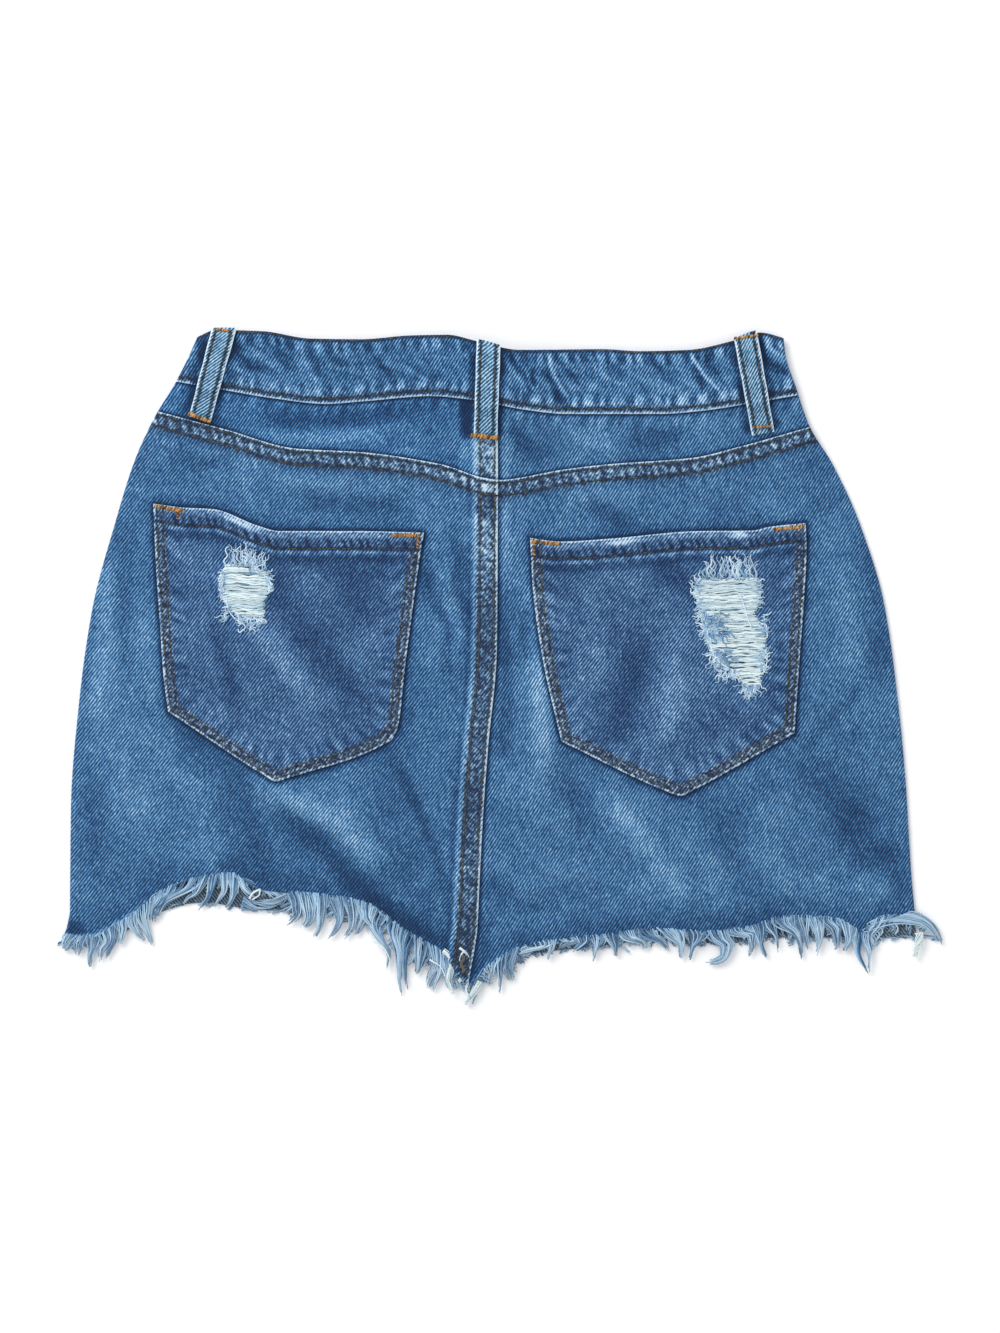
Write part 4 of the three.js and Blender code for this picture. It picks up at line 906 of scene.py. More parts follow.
# Patch pockets: five-sided, laid on the panels and stitched down with two rows round the sides. The mouth is
# folded over into a thick hem, and each pocket has one worn hole, where the blue warp is gone.
POCKET_HEM = 9.5
POCKET_HEM_EXTRA = 0.6
POCKET_GAPE = 1.2
POCKET_ROWS = (1.9, 5.4)
HEM_ROW = 10.2
RIP_LEFT = ((-156, 59), (-147, 59), (-135, 53.5), (-134.5, 45), (-138, 37), (-138, 27), (-150, 27.5), (-159, 38),
            (-160.5, 50))
RIP_RIGHT = ((119, 50.5), (149, 51), (150, 35), (146.5, 30), (152.8, 20), (153.5, 7), (150, -11.5), (146, -14.5),
             (138, -4), (129, -1.5), (122, 14), (119, 31), (115, 42))
WORN_MOUTH = {"left": ((-150, 15),), "right": ((71, 13), (139, 9))}  # x and half width of rubbed places
POCKET_CREASES = (
    (-0.9, -0.1, 12, ((-140, 50), (-118, 22), (-92, -10), (-72, -32))),
    (0.7, 0.09, 10, ((-150, 34), (-128, 6), (-104, -26))),
    (-0.6, -0.08, 10, ((-164, 30), (-156, -6), (-148, -36))),
    (-0.2, -0.1, 24, ((-62, 62), (-84, 52), (-70, 26))),
    (-0.6, -0.07, 13, ((-118, 62), (-90, 52), (-60, 58))),
    (0.6, 0.07, 12, ((104, 30), (103, -10), (98, -50))),
    (-0.7, -0.09, 15, ((84, 20), (74, -20), (66, -50))),
    (-0.6, -0.1, 10, ((92, 56), (108, 50), (116, 36))),
    (0.4, 0.06, 12, ((50, 50), (56, 20), (60, -10))),
    (-0.5, -0.06, 12, ((128, -30), (146, -40), (160, -26))))


def gape(edges, x, y):
    """How far a pocket stands off the panel: a hump along its mouth, sinking to nothing below the hem."""
    left, right, top = (smooth_line(edges[name]) for name in ("left", "right", "top"))
    across = np.clip((x - left(y)) / (right(y) - left(y)), 0, 1)
    return POCKET_GAPE * np.sin(pi * across) ** 2 * bell(top(x) - y, 4 * POCKET_HEM)


def pocket_levels(side, x, y):
    """Underside, upper face, tone, seam and edge of a pocket: the panel's own face moved out, thicker at the
    mouth's hem, drawn in and gathered along its stitches, with a few soft creases."""
    edges = POCKET_LEFT if side == "left" else POCKET_RIGHT
    panel = back_panel_levels(side, x, y)
    from_edge, _ = from_outline(pocket_outlines[side], x, y)
    low = panel[0] + CLOTH + GAP + gape(edges, x, y)
    below_mouth = smooth_line(edges["top"])(x) - y
    on_hem = 1 - ease(below_mouth, POCKET_HEM, POCKET_HEM + BAND_STEP)
    fine, crease_tone = crease_field(POCKET_CREASES, x, y, True)
    gathers = puckers(x + 0.3 * y, 3.3, 5.0)
    side_gathers = puckers(y - 0.5 * x, 5.2, 5.2)
    around = 72 * np.arctan2(y - 6, x - (98 if side == "right" else -124))
    radial = np.tanh(1.6 * puckers(around, 0.9, 9.5)) * bell(from_edge - 10, 9) * (1 - on_hem)
    relief = 0.22 * gathers * on_hem * bell(below_mouth - 7, 6) + 0.12 * gathers * bell(below_mouth - 12, 4)
    relief = relief + 0.12 * side_gathers * bell(from_edge - 5.5, 6) * (1 - on_hem) + 0.16 * radial
    relief = relief - 0.25 * groove(from_edge - POCKET_ROWS[0]) - 0.25 * groove(from_edge - POCKET_ROWS[1])
    relief = relief - 0.35 * groove(below_mouth - HEM_ROW)
    inside = ease(from_edge, 3, 16)
    relief = relief + fine * inside
    border = ease(from_edge, 7.6, 6.0) * (1 - on_hem)
    # Painted shade in the creases' troughs and paler, partly worn ridges; painted light and shade on the gathers round
    # the border, their tops partly rubbed pale.
    tone = 0.4 * panel[2] + crease_tone * inside + border * (-0.05 + 0.08 * side_gathers) + 0.12 * radial
    blotches = np.clip(1.5 * gathers, 0, 1) * bell(below_mouth - 7.4, 4.4)
    tone = tone + on_hem * (0.16 * bell(below_mouth - 2, 4) - 0.46 * blotches)
    # Painted shade in the groove along the hem's row, and a painted shadow below the hem.
    tone = tone - 0.3 * groove(below_mouth - HEM_ROW, 1.0) + 0.16 * bell(below_mouth - 12.2, 1.8) - 0.15 * bell(below_mouth - 16, 4.5) * (below_mouth > 10.6)
    for middle, half in WORN_MOUTH[side]:
        tone = tone + 0.42 * bell(x - middle, half) * bell(below_mouth - 2.6, 3.4)
    edge = np.where(below_mouth < from_edge + 0.3, 1.4 * below_mouth, from_edge)
    thick = CLOTH * (0.5 + 0.5 * np.sqrt(ramp(from_edge, -0.05, 1))) + POCKET_HEM_EXTRA * on_hem
    return low, low + thick + relief, tone, 0.55 * border + 0.15 * on_hem, edge


POCKET_BLUES = ("#0c2140", "#203f68", "#3a6390", "#6f9ac2", "#c8dcea")
pocket_denim = denim("stone_washed_denim_pocket", POCKET_BLUES, wale_degrees=53)
near_hem = (0, 0.35, 0.8, 1.4, 2, 2.7, 3.8, 5, 6.2, 7.4, 8.6, 9.5, 10, 10.5, 11.2, 12.2)
near_rim = (0, 0.35, 0.8, 1.4, 1.9, 2.4, 3.2, 4.2, 4.9, 5.4, 5.9, 6.8)
for side, edges, rip in (("left", POCKET_LEFT, RIP_LEFT), ("right", POCKET_RIGHT, RIP_RIGHT)):
    sides = [smooth_line(edges[name]) for name in ("left", "right", "top", "bottom")]
    pocket_across = shares(147, 1.15, near_rim, near_rim)
    pocket_down = shares(140, 1.35, near_hem, near_rim)
    x, y = net(*sides, pocket_across, pocket_down)
    low, high, tone, seam, edge = pocket_levels(side, x, y)
    in_rip, _ = from_outline(rip, x, y)
    tone = tone + 0.16 * bell(in_rip, 2.2)
    points, faces, used = pierced_wall(x, y, low, high, rip)
    fields = {label: field.ravel()[used] for label, field in (("tone", tone), ("seam", seam), ("edge", edge))}
    mesh = make_mesh(f"patch_pocket_{side}", points, faces, points[:, :2].T, **fields)
    piece(mesh, pocket_denim, "denim", f"pocket_{side}")


def outer(x, y):
    """Upper face of everything sewn on the back but the belt loops."""
    height = skin(x, y)
    for side, outline in pocket_outlines.items():
        on_pocket = from_outline(outline, x, y)[0] > 0
        if on_pocket.any():
            height[on_pocket] = pocket_levels(side, x[on_pocket], y[on_pocket])[1]
    return height


# Belt loops: folded strips of denim, tacked to the yoke below the waistband and to its top edge, whose upper end
# turns over the waist. Their edges are rubbed almost white.
LOOP_TAPER = {"belt_loop_back_left": 0.92, "belt_loop_back_centre": 0.96, "belt_loop_back_right": 0.94}
loop_denim = denim("stone_washed_denim_loop", ("#0d2037", "#2b5273", "#5484a8", "#a0c6dd", "#dbe9f0"),
                   wale_degrees=48, contrast=1.05)


def loop_surface(name, x1, y1, x2, y2):
    """A belt loop's frame: its foot, its unit vector along and aside, its length to just past the waist, and the
    height of its underside at a distance along it, smoothed over the steps that it bridges."""
    slant = np.hypot(x2 - x1, y2 - y1)
    along = np.array([x2 - x1, y2 - y1]) / slant
    aside = np.array([along[1], -along[0]])
    across = np.linspace(-LOOP["width"] / 2, LOOP["width"] / 2, 9)
    length = slant
    while True:
        ends = np.array([x1, y1]) + length * along + across[:, None] * aside
        if np.all(ends[:, 1] >= waist_top(ends[:, 0])):
            break
        length += 0.1
    stations = np.linspace(0, length, 160)
    spots = np.array([x1, y1]) + stations[:, None, None] * along + across[:, None] * aside
    spots[..., 1] = np.minimum(spots[..., 1], waist_top(spots[..., 0]) - 1.6)
    heights = skin(spots[..., 0], spots[..., 1]).max(1)
    reach = 9
    padded = np.pad(heights, reach, mode="edge")
    widest = np.max([padded[i:i + len(heights)] for i in range(2 * reach + 1)], 0)
    padded = np.pad(widest, reach, mode="edge")
    smooth = np.mean([padded[i:i + len(heights)] for i in range(2 * reach + 1)], 0)
    return np.array([x1, y1]), along, aside, length, stations, smooth + GAP


def loop_strip(name, foot, along, aside, length, stations, heights, taper, follows_waist=True):
    """A belt loop's mesh: a flat, rounded section, carried along the strip and then over the waist edge. The
    section's outline is a rectangle whose sides are half circles, drawn in a little over its two rows."""
    turn_radius = 0.5
    run = np.linspace(0, length, 60)
    arc = np.linspace(0, pi / 2, 7)[1:]
    end = np.interp(length, stations, heights)
    path_s = np.concatenate([run, length + turn_radius * np.sin(arc), [length + turn_radius] * 2])
    path_z = np.concatenate([np.interp(run, stations, heights), end - turn_radius * (1 - np.cos(arc)),
                             end - turn_radius - np.array([0.8, LOOP["hook"]])])
    direction = np.stack([np.gradient(path_s), np.gradient(path_z)], -1)
    direction /= np.linalg.norm(direction, axis=1)[:, None]
    normal = np.stack([-direction[:, 1], direction[:, 0]], -1)
    half = LOOP["width"] / 2
    level = np.concatenate([np.linspace(-1, 1, 29), np.linspace(1, -1, 11)])
    bow = np.sqrt(np.clip(1 - np.abs(level) ** 9, 0, 1))
    is_top = np.arange(len(level)) < 29
    dips = 0.3 * (groove((np.abs(level) - 0.62) * half, 0.5)) * is_top
    lip = np.where(is_top, 0.5 + 0.5 * bow - dips / LOOP["thick"], 0.5 - 0.5 * bow)
    level, lip, is_top = level[:-1], lip[:-1], is_top[:-1]
    share = path_s / path_s[-1]
    width = half * (1 - (1 - taper) * (1 - share)) * (1 + 0.012 * np.sin(path_s / 3.1))
    waves = 0.12 * puckers(path_s, 1.1, 6.0)[:, None] * (1 - np.abs(level)) * is_top
    offset = (lip * LOOP["thick"] + waves) * (1 - 0.4 * ramp(path_s, length - 2, length))[:, None]
    s = path_s[:, None] + normal[:, :1] * offset
    if follows_waist:
        edge_x = foot[0] + length * along[0] + half * level * aside[0]
        edge_y = foot[1] + length * along[1] + half * level * aside[1]
        s = s * (1 + (waist_top(edge_x) - edge_y) / along[1] / length)
    z = path_z[:, None] + normal[:, 1:] * offset
    place = foot + s[..., None] * along + (width[:, None] * level)[..., None] * aside
    ring = len(level)
    points = np.concatenate([place, z[..., None]], -1).reshape(-1, 3)
    index = np.arange(len(points)).reshape(-1, ring)
    beside = np.roll(index, -1, 1)
    skin_faces = np.stack([index[:-1], beside[:-1], beside[1:], index[1:]], -1).reshape(-1, 4)
    caps = [index[:1, ::-1], index[-1:]]
    from_edge = (1 - np.abs(level)) * half
    edge = np.where(is_top, from_edge + 0.2, 9) * np.ones((len(path_s), 1))
    # Painted shade in the grooves along the loop's two rows.
    tone = 0.05 * puckers(path_s, 0.4, 9)[:, None] - 0.32 * groove(from_edge - 2.6, 0.9) + 0.06
    seam = 0.25 * bell(from_edge - 2.4, 2.6) + 0 * tone
    cloth = (np.broadcast_to(width[:, None] * level, tone.shape).ravel(),
             np.broadcast_to(path_s[:, None], tone.shape).ravel())
    return make_mesh(name, points, [skin_faces, *caps], cloth, tone=tone, seam=seam, edge=edge)


loops = {}
for name, x1, y1, x2, y2 in BACK_LOOPS:
    loops[name] = loop_surface(name, x1, y1, x2, y2)
    mesh = loop_strip(name.replace("belt_loop_back", "back_loop"), *loops[name], LOOP_TAPER[name])
    loop = piece(mesh, loop_denim, "denim", name)
for side, x in (("left", -FRONT_LOOP_X), ("right", FRONT_LOOP_X)):
    low_corner, high_corner = [np.array(corner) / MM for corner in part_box(f"belt_loop_front_{side}")]
    length = high_corner[1] - low_corner[1] - CLEAR - LOOP["thick"]
    foot = np.array([x, low_corner[1]])
    stations = np.array([0, length])
    along, aside = np.array([0.0, 1.0]), np.array([-1.0, 0.0])
    mesh = loop_strip(f"front_loop_{side}", foot, along, aside, length, stations, np.array([0.0, 0.0]), 1,
                      follows_waist=False)
    mirrored = np.empty(len(mesh.vertices) * 3, np.float32)
    mesh.vertices.foreach_get("co", mirrored)
    mirrored[2::3] = LOOP["thick"] * MM - mirrored[2::3]
    mesh.vertices.foreach_set("co", mirrored)
    loop = piece(mesh, loop_denim, "denim", f"belt_loop_front_{side}")

# Bare weft in the two worn holes: the undyed cross threads, soft and a little slack, gathered in bundles with
# dark slits between them. They run under the pocket's cloth at both sides of the hole.
WEFT_PITCH = 0.8
WEFT_RADIUS = 0.46
WEFT_POINTS = 18
UP = np.array([0.0, 0.0, 1.0])


def strands(paths, radii, sides=5, flatten=1.0):
    """Many threads at once: a ring of points round every point of every path, square to the path, its height
    times flatten. Gives the points, the faces, and for each point its thread's number and its share along it."""
    count, steps, _ = paths.shape
    run = np.gradient(paths, axis=1)
    run /= np.linalg.norm(run, axis=-1, keepdims=True)
    across = np.cross(run, UP)
    across /= np.maximum(np.linalg.norm(across, axis=-1, keepdims=True), 1e-6)
    over = np.cross(across, run) * flatten
    turn = np.arange(sides) * 2 * pi / sides
    ring = across[:, :, None] * np.cos(turn)[:, None] + over[:, :, None] * np.sin(turn)[:, None]
    points = (paths[:, :, None] + radii[:, :, None, None] * ring).reshape(-1, 3)
    number = np.arange(count * steps * sides).reshape(count, steps, sides)
    beside = np.roll(number, -1, 2)
    tube = np.stack([number[:, :-1], number[:, 1:], beside[:, 1:], beside[:, :-1]], -1).reshape(-1, 4)
    caps = np.concatenate([number[:, 0], number[:, -1, ::-1]])
    which = np.repeat(np.arange(count), steps * sides)
    share = np.tile(np.repeat(np.linspace(0, 1, steps), sides), count)
    return points, [tube, caps], which, share


def join(parts):
    """Several sets of strands as one: the faces' numbers move on by the points before them."""
    points, tubes, caps, shades, shares_along = [], {}, {}, [], []
    before = 0
    for (part_points, (tube, cap), which, share), shade in parts:
        points.append(part_points)
        tubes.setdefault(tube.shape[1], []).append(tube + before)
        caps.setdefault(cap.shape[1], []).append(cap + before)
        shades.append(shade[which])
        shares_along.append(share)
        before += len(part_points)
    faces = [np.concatenate(group) for groups in (tubes, caps) for group in groups.values()]
    return np.concatenate(points), faces, np.concatenate(shades), np.concatenate(shares_along)


def yarn(name, colours, roughness=0.95, fuzz_mm=0.7):
    """Spun cotton thread: matt and slightly fuzzy, each strand a shade of its own, blotchy along its length, and
    changing from the first colours at its root to the last at its tip."""
    material, tree, shader = new_material(name, roughness, Specular_IOR_Level=0.2)
    shade = node(tree, "ShaderNodeAttribute", attribute_name="shade")
    along = node(tree, "ShaderNodeAttribute", attribute_name="along")
    place = node(tree, "ShaderNodeTexCoord")
    fibre = node(tree, "ShaderNodeTexNoise",
                 {"Vector": place.outputs["Object"], "Scale": 1000 / fuzz_mm, "Detail": 2.0})
    blotch = node(tree, "ShaderNodeTexNoise", {"Vector": place.outputs["Object"], "Scale": 1000 / 6, "Detail": 2.0})
    pairs = []
    for dark, light in colours:
        depth = node(tree, "ShaderNodeMath", {0: fibre, 1: 0.5, 2: shade.outputs["Fac"]}, operation="MULTIPLY_ADD")
        depth = node(tree, "ShaderNodeMath", {0: blotch, 1: 0.5, 2: depth}, operation="MULTIPLY_ADD")
        depth = node(tree, "ShaderNodeMath", {0: depth, 1: 0.5}, operation="SUBTRACT")
        pairs.append(node(tree, "ShaderNodeMix", {0: depth, 6: linear(dark), 7: linear(light)}, data_type="RGBA"))
    colour = pairs[0].outputs[2]
    for step, pair in enumerate(pairs[1:]):
        start, end = (0.0, 0.35) if step == 0 else (0.55, 1.0)
        later = node(tree, "ShaderNodeMapRange", {"Value": along.outputs["Fac"], 1: start, 2: end})
        colour = node(tree, "ShaderNodeMix", {0: later, 6: colour, 7: pair.outputs[2]}, data_type="RGBA").outputs[2]
    tree.links.new(colour, shader.inputs["Base Color"])
    bump = node(tree, "ShaderNodeBump", {"Strength": 0.4, "Distance": 0.0001, "Height": fibre})
    tree.links.new(bump.outputs[0], shader.inputs["Normal"])
    shader.inputs["Sheen Weight"].default_value = 0.2
    return material


weft_yarn = yarn("undyed_weft_cotton", (("#6f98ad", "#e3efef"),))
rips = {"left": RIP_LEFT, "right": RIP_RIGHT}
for side, rip in rips.items():
    chance = np.random.default_rng({"left": 11, "right": 12}[side])
    ys = np.array(rip)[:, 1]
    rows = np.arange(ys.min() + 0.3, ys.max() - 0.2, WEFT_PITCH)
    parts = []
    # The lower layer is darker: painted shade on the threads that lie deeper in the hole.
    for layer, (drop, shade) in enumerate(((0.2, 0.25), (0.65, 0.75))):
        at = rows + layer * WEFT_PITCH / 2
        at = at[at < ys.max() - 0.1]
        start, end = crossings(rip, at)
        t = np.linspace(0, 1, WEFT_POINTS)
        start, end = start - chance.uniform(0.6, 2.8, len(at)), end + chance.uniform(0.6, 2.8, len(at))
        x = start[:, None] + (end - start)[:, None] * t
        middle = np.sin(pi * t)
        bundle = 3.1 + 0.9 * np.sin(at / 5.3)
        pull = -0.34 * bundle[:, None] / 2 * np.sin(2 * pi * at[:, None] / bundle[:, None] + 0.05 * x)
        tilt = {"left": -0.09, "right": 0.04}[side]
        y = at[:, None] + tilt * (x - x.mean()) * middle + pull * middle + chance.normal(0, 0.32, (len(at), 1)) * middle
        for wavelength, size in ((14, 0.3), (6.5, 0.16), (3.4, 0.07)):
            phase = chance.uniform(0, 2 * pi, (len(at), 1))
            y = y + size * np.sin(2 * pi * x / wavelength + phase) * np.minimum(1, 4 * middle)
        cloth_low, cloth_high = pocket_levels(side, x, y)[:2]
        over = np.clip(1.6 * (1 - middle) - 0.1, 0, 1)
        z = (1 - over) * (cloth_low + drop * middle + 0.35) + over * (cloth_high + 0.1)
        z = z + chance.normal(0, 0.1, (len(at), 1)) * middle
        radii = WEFT_RADIUS * chance.uniform(0.7, 1.2, (len(at), 1)) * np.ones(WEFT_POINTS)
        parts.append((strands(np.stack([x, y, z], -1), radii, 6, 0.8), shade + chance.uniform(-0.25, 0.3, len(at))))
    points, faces, shades, along = join(parts)
    mesh = make_mesh(f"bare_weft_{side}", points, faces, shade=shades, along=along)
    weft = piece(mesh, weft_yarn, "bare_weft", f"rip_threads_{side}")

# Frayed warp round the holes: the worn ends of the blue threads, curled up over the hole's edge, with whiskers
# of broken weft at its sides.
# Each row: rip, x and y of the middle, half spread in x and y, count, length, heading in degrees, its spread, curl,
# and middle shade: the last rows of each rip are blue warp that still covers part of the hole.
FRAYS = (
    ("left", -150, 57.5, 8, 1.5, 26, 13, 92, 10, 1.0, 0.62), ("left", -141, 55, 5, 2.5, 18, 10, 78, 18, 1.4, 0.6),
    ("left", -134.5, 48, 0.8, 7, 26, 4, 20, 50, 2.6, 0.6), ("left", -159, 46, 0.8, 8, 28, 4, 180, 55, 2.6, 0.6),
    ("left", -146, 28, 8, 1, 34, 6, -75, 40, 3.0, 0.6), ("left", -143, 23, 5, 3, 20, 6, -30, 100, 3.4, 0.5),
    ("left", -157, 31, 1.5, 4, 14, 6, 215, 30, 2.0, 0.6),
    ("right", 134, 49.5, 15.5, 1.5, 46, 14, 92, 9, 1.0, 0.62), ("right", 116, 44, 2, 5, 16, 7, 130, 35, 2.0, 0.6),
    ("right", 118.5, 33, 1.5, 6, 24, 5, 190, 45, 3.0, 0.6), ("right", 150.5, 42, 0.8, 8, 26, 4, 10, 50, 2.4, 0.6),
    ("right", 121, 22, 1.5, 6, 14, 6, 200, 50, 3.0, 0.6), ("right", 126, 5, 3, 5, 14, 6, 210, 50, 3.0, 0.6),
    ("right", 152.5, 24, 1, 5, 20, 6, 20, 60, 4.0, 0.6), ("right", 153, 4, 1, 6, 26, 6, -20, 60, 4.0, 0.6),
    ("right", 134, -4, 5, 2, 34, 6, -110, 50, 3.2, 0.6), ("right", 146, -13, 5, 2, 40, 6, -95, 55, 3.4, 0.55),
    ("right", 125, 26, 5.5, 7, 46, 10, -78, 50, 2.4, 0.2), ("right", 131, 6, 4.5, 3.5, 22, 7, -60, 60, 2.6, 0.2))
# White ends that trail over the cloth: rip and the places that each runs through.
TRAILS = (
    ("left", ((-158, 40), (-157, 33), (-153, 27), (-147, 23))), ("left", ((-136, 52), (-132, 47), (-134, 41))),
    ("right", ((123, 16), (124, 8), (129, 1), (136, -3))), ("right", ((150, 25), (155.5, 23), (156, 16), (151, 15))),
    ("right", ((152, 10), (156, 6), (155, -3), (150, -6))), ("right", ((140, 42), (143, 33), (145, 26), (147, 21))))
FRAY_POINTS = 13


def curl_paths(chance, count, middle, spread, length, heading, fan, curl):
    """Curled threads from scattered roots: the heading turns steadily and swings like a sine wave, and the
    thread's places are the running sum of short steps in that heading."""
    t = np.linspace(0, 1, FRAY_POINTS)
    root = np.array(middle) + chance.uniform(-1, 1, (count, 2)) * spread
    turn = np.radians(heading + chance.uniform(-1, 1, count) * fan)[:, None]
    turn = turn + curl * chance.uniform(-0.6, 0.6, (count, 1)) * t
    turn = turn + 0.75 * np.sin(2 * pi * t * chance.uniform(0.8, 1.9, (count, 1)) + chance.uniform(0, 6.3, (count, 1)))
    step = (length * chance.uniform(0.6, 1.15, (count, 1)) / (FRAY_POINTS - 1))
    x = root[:, :1] + np.cumsum(np.cos(turn) * step, 1)
    y = root[:, 1:] + np.cumsum(np.sin(turn) * step, 1)
    return x, y


fray_yarn = yarn("frayed_indigo_warp", (("#356896", "#bddcf0"), ("#5f93bd", "#e2f3fb")))
for side, rip in rips.items():
    chance = np.random.default_rng({"left": 21, "right": 22}[side])
    parts = []
    for _, mx, my, wide, high, count, length, heading, fan, curl, shade in [row for row in FRAYS if row[0] == side]:
        x, y = curl_paths(chance, count, (mx, my), (wide, high), length, heading, fan, curl)
        z = pocket_levels(side, x, y)[1] + 0.25 + 0.7 * chance.uniform(0.2, 1, (count, 1)) * \
            np.sin(pi * np.linspace(0.05, 1, FRAY_POINTS))
        radii = chance.uniform(0.32, 0.5, (count, 1)) * np.linspace(1, 0.6, FRAY_POINTS)
        parts.append((strands(np.stack([x, y, z], -1), radii, 4), shade + chance.uniform(-0.45, 0.35, count)))
    for _, places in [row for row in TRAILS if row[0] == side]:
        t = np.linspace(0, 1, FRAY_POINTS)
        knots = np.linspace(0, 1, len(places))
        x, y = [smooth_line(list(zip(knots, values)))(t)[None] for values in zip(*places)]
        z = pocket_levels(side, x, y)[1] + 0.5
        parts.append((strands(np.stack([x, y, z], -1), np.full((1, FRAY_POINTS), 0.3), 5), np.array([1.5])))
    points, faces, shades, along = join(parts)
    mesh = make_mesh(f"rip_fray_{side}", points, faces, shade=shades, along=along)
    piece(mesh, fray_yarn, "frayed_warp")

# Topstitching: olive and golden brown core-spun thread in lock stitches, each a short raised lens that dips into
# the cloth at both ends.
STITCH_PITCH = 2.9
STITCH = {"length": 2.35, "radius": 0.5, "sunk": 0.1, "arch": 0.34, "points": 5}


def resampled(places, inset=0.0):
    """A bent line as many close places, moved to its right by inset, and the running length along it."""
    places = np.asarray(places, float)
    if inset:
        run = np.gradient(places, axis=0)
        run /= np.linalg.norm(run, axis=1)[:, None]
        places = places + inset * np.stack([run[:, 1], -run[:, 0]], -1)
    walked = np.append(0, np.cumsum(np.hypot(*np.diff(places, axis=0).T)))
    return places, walked


def stitch_row(chance, places, height, inset=0.0, pitch=STITCH_PITCH, shade=0.5):
    """A row of stitches along a line: lens-shaped threads whose radius and height fall off along each stitch as
    1 less the square of the distance from its middle."""
    places, walked = resampled(places, inset)
    count = max(1, int(walked[-1] / pitch))
    middle = (np.arange(count) + 0.5) * walked[-1] / count
    t = np.linspace(-1, 1, STITCH["points"])
    at = middle[:, None] + STITCH["length"] / 2 * pitch / STITCH_PITCH * t
    x, y = np.interp(at, walked, places[:, 0]), np.interp(at, walked, places[:, 1])
    arch = 1 - t * t
    z = height(x, y) - STITCH["sunk"] + STITCH["arch"] * arch
    radii = STITCH["radius"] * chance.uniform(0.85, 1.15, (count, 1)) * np.sqrt(0.25 + 0.75 * arch)
    return (strands(np.stack([x, y, z], -1), radii, 5, 0.8), shade + chance.uniform(-0.35, 0.35, count))


def sewing(name, parts, material):
    """One mesh of all the stitches of a seam."""
    points, faces, shades, along = join(parts)
    return piece(make_mesh(name, points, faces, shade=shades, along=along), material, "denim")


stitch_thread = yarn("olive_topstitch_thread", (("#1c2126", "#5f5d50"),), roughness=0.75)
chance = np.random.default_rng(31)


def beside_loops(places, gap=8.2):
    """The stretches of a line that no belt loop covers."""
    hidden = np.zeros(len(places), bool)
    for foot, along, aside, length, _, _ in loops.values():
        local = places - foot
        hidden |= (np.abs(local @ aside) < gap) & (local @ along > -1) & (local @ along < length)
    cuts = np.flatnonzero(np.diff(hidden.astype(int))) + 1
    return [part for part in np.split(places, cuts) if len(part) > 4 and not hidden[np.searchsorted(
        places[:, 0], part[len(part) // 2, 0])]]


span = np.linspace(-199, 190, 500)
inside_band = span[(span > side_left(waist_bottom(span) + 2) + 1) & (span < side_right(waist_bottom(span) + 2) - 1)]
lower = np.column_stack([inside_band, waist_bottom(inside_band) + BAND_ROWS[0]])
inside_top = span[(span > side_left(waist_top(span)) + 1) & (span < side_right(waist_top(span)) - 1)]
upper = np.column_stack([inside_top, waist_top(inside_top) - 1.1])
band_parts = [stitch_row(chance, part, lambda x, y: band_levels(x, y)[1], shade=0.2) for part in beside_loops(lower)]
band_parts += [stitch_row(chance, part, lambda x, y: band_levels(x, y)[1], shade=0.25, pitch=2.5)
               for part in beside_loops(upper, 7.4)]
sewing("stitches_waistband", band_parts, stitch_thread)

yoke_parts = []
for drop in YOKE_ROWS:
    for start, end in ((side_left, lambda y: centre_back(y) - 0.6), (lambda y: centre_back(y) + 0.8, side_right)):
        x0, x1 = float(start(np.array(125.0))) - 12, float(end(np.array(110.0)))
        xs = np.linspace(max(x0, -209), min(x1, 200), 260)
        ys = yoke_seam(xs) - drop
        shown = (xs > side_left(ys) + 1) & (xs < side_right(ys) - 1)
        yoke_parts.append(stitch_row(chance, np.column_stack([xs, ys])[shown], skin, shade=0.3))
sewing("stitches_yoke_seam", yoke_parts, stitch_thread)

centre_parts = []
for inset in CENTRE_ROWS:
    for top, bottom in ((130, 110), (106, -180)):
        ys = np.linspace(top, bottom, 240)
        xs = centre_back(ys) - inset
        shown = ys > back_hem(xs) + 1
        centre_parts.append(stitch_row(chance, np.column_stack([xs, ys])[shown], skin, shade=0.4))
t = np.linspace(0, 1, 24)
tail_x, tail_y = -20.9 + 0.7 * np.sin(3 * pi * t), -168.5 - 10 * t
for aside in (-0.4, 0.4):
    tail = np.stack([tail_x + aside, tail_y, skin(tail_x, tail_y) + 0.4], -1)[None]
    centre_parts.append((strands(tail, np.full((1, 24), 0.45), 6), np.array([1.2])))
sewing("stitches_centre_seam", centre_parts, stitch_thread)

for side, outline in pocket_outlines.items():
    top_count = 44
    around = np.vstack([outline[top_count:], outline[:1]])
    height = lambda x, y: pocket_levels(side, x, y)[1]
    parts = [stitch_row(chance, around, height, inset, shade=0.3) for inset in POCKET_ROWS]
    mouth = outline[2:top_count - 1] - [0, HEM_ROW]
    parts.append(stitch_row(chance, mouth, height, shade=0.25))
    sewing(f"stitches_pocket_{side}", parts, stitch_thread)

loop_parts = []
for name, (foot, along, aside, length, stations, heights) in loops.items():
    for share in (-0.62, 0.62):
        s = np.linspace(3.5, length - 1.5, 60)
        places = foot + s[:, None] * along + share * LOOP["width"] / 2 * aside
        top = lambda x, y: np.interp((np.stack([x, y], -1) - foot) @ along, stations, heights) + LOOP["thick"] - 0.1
        loop_parts.append(stitch_row(chance, places, top, shade=0.2))
sewing("stitches_belt_loops", loop_parts, stitch_thread)

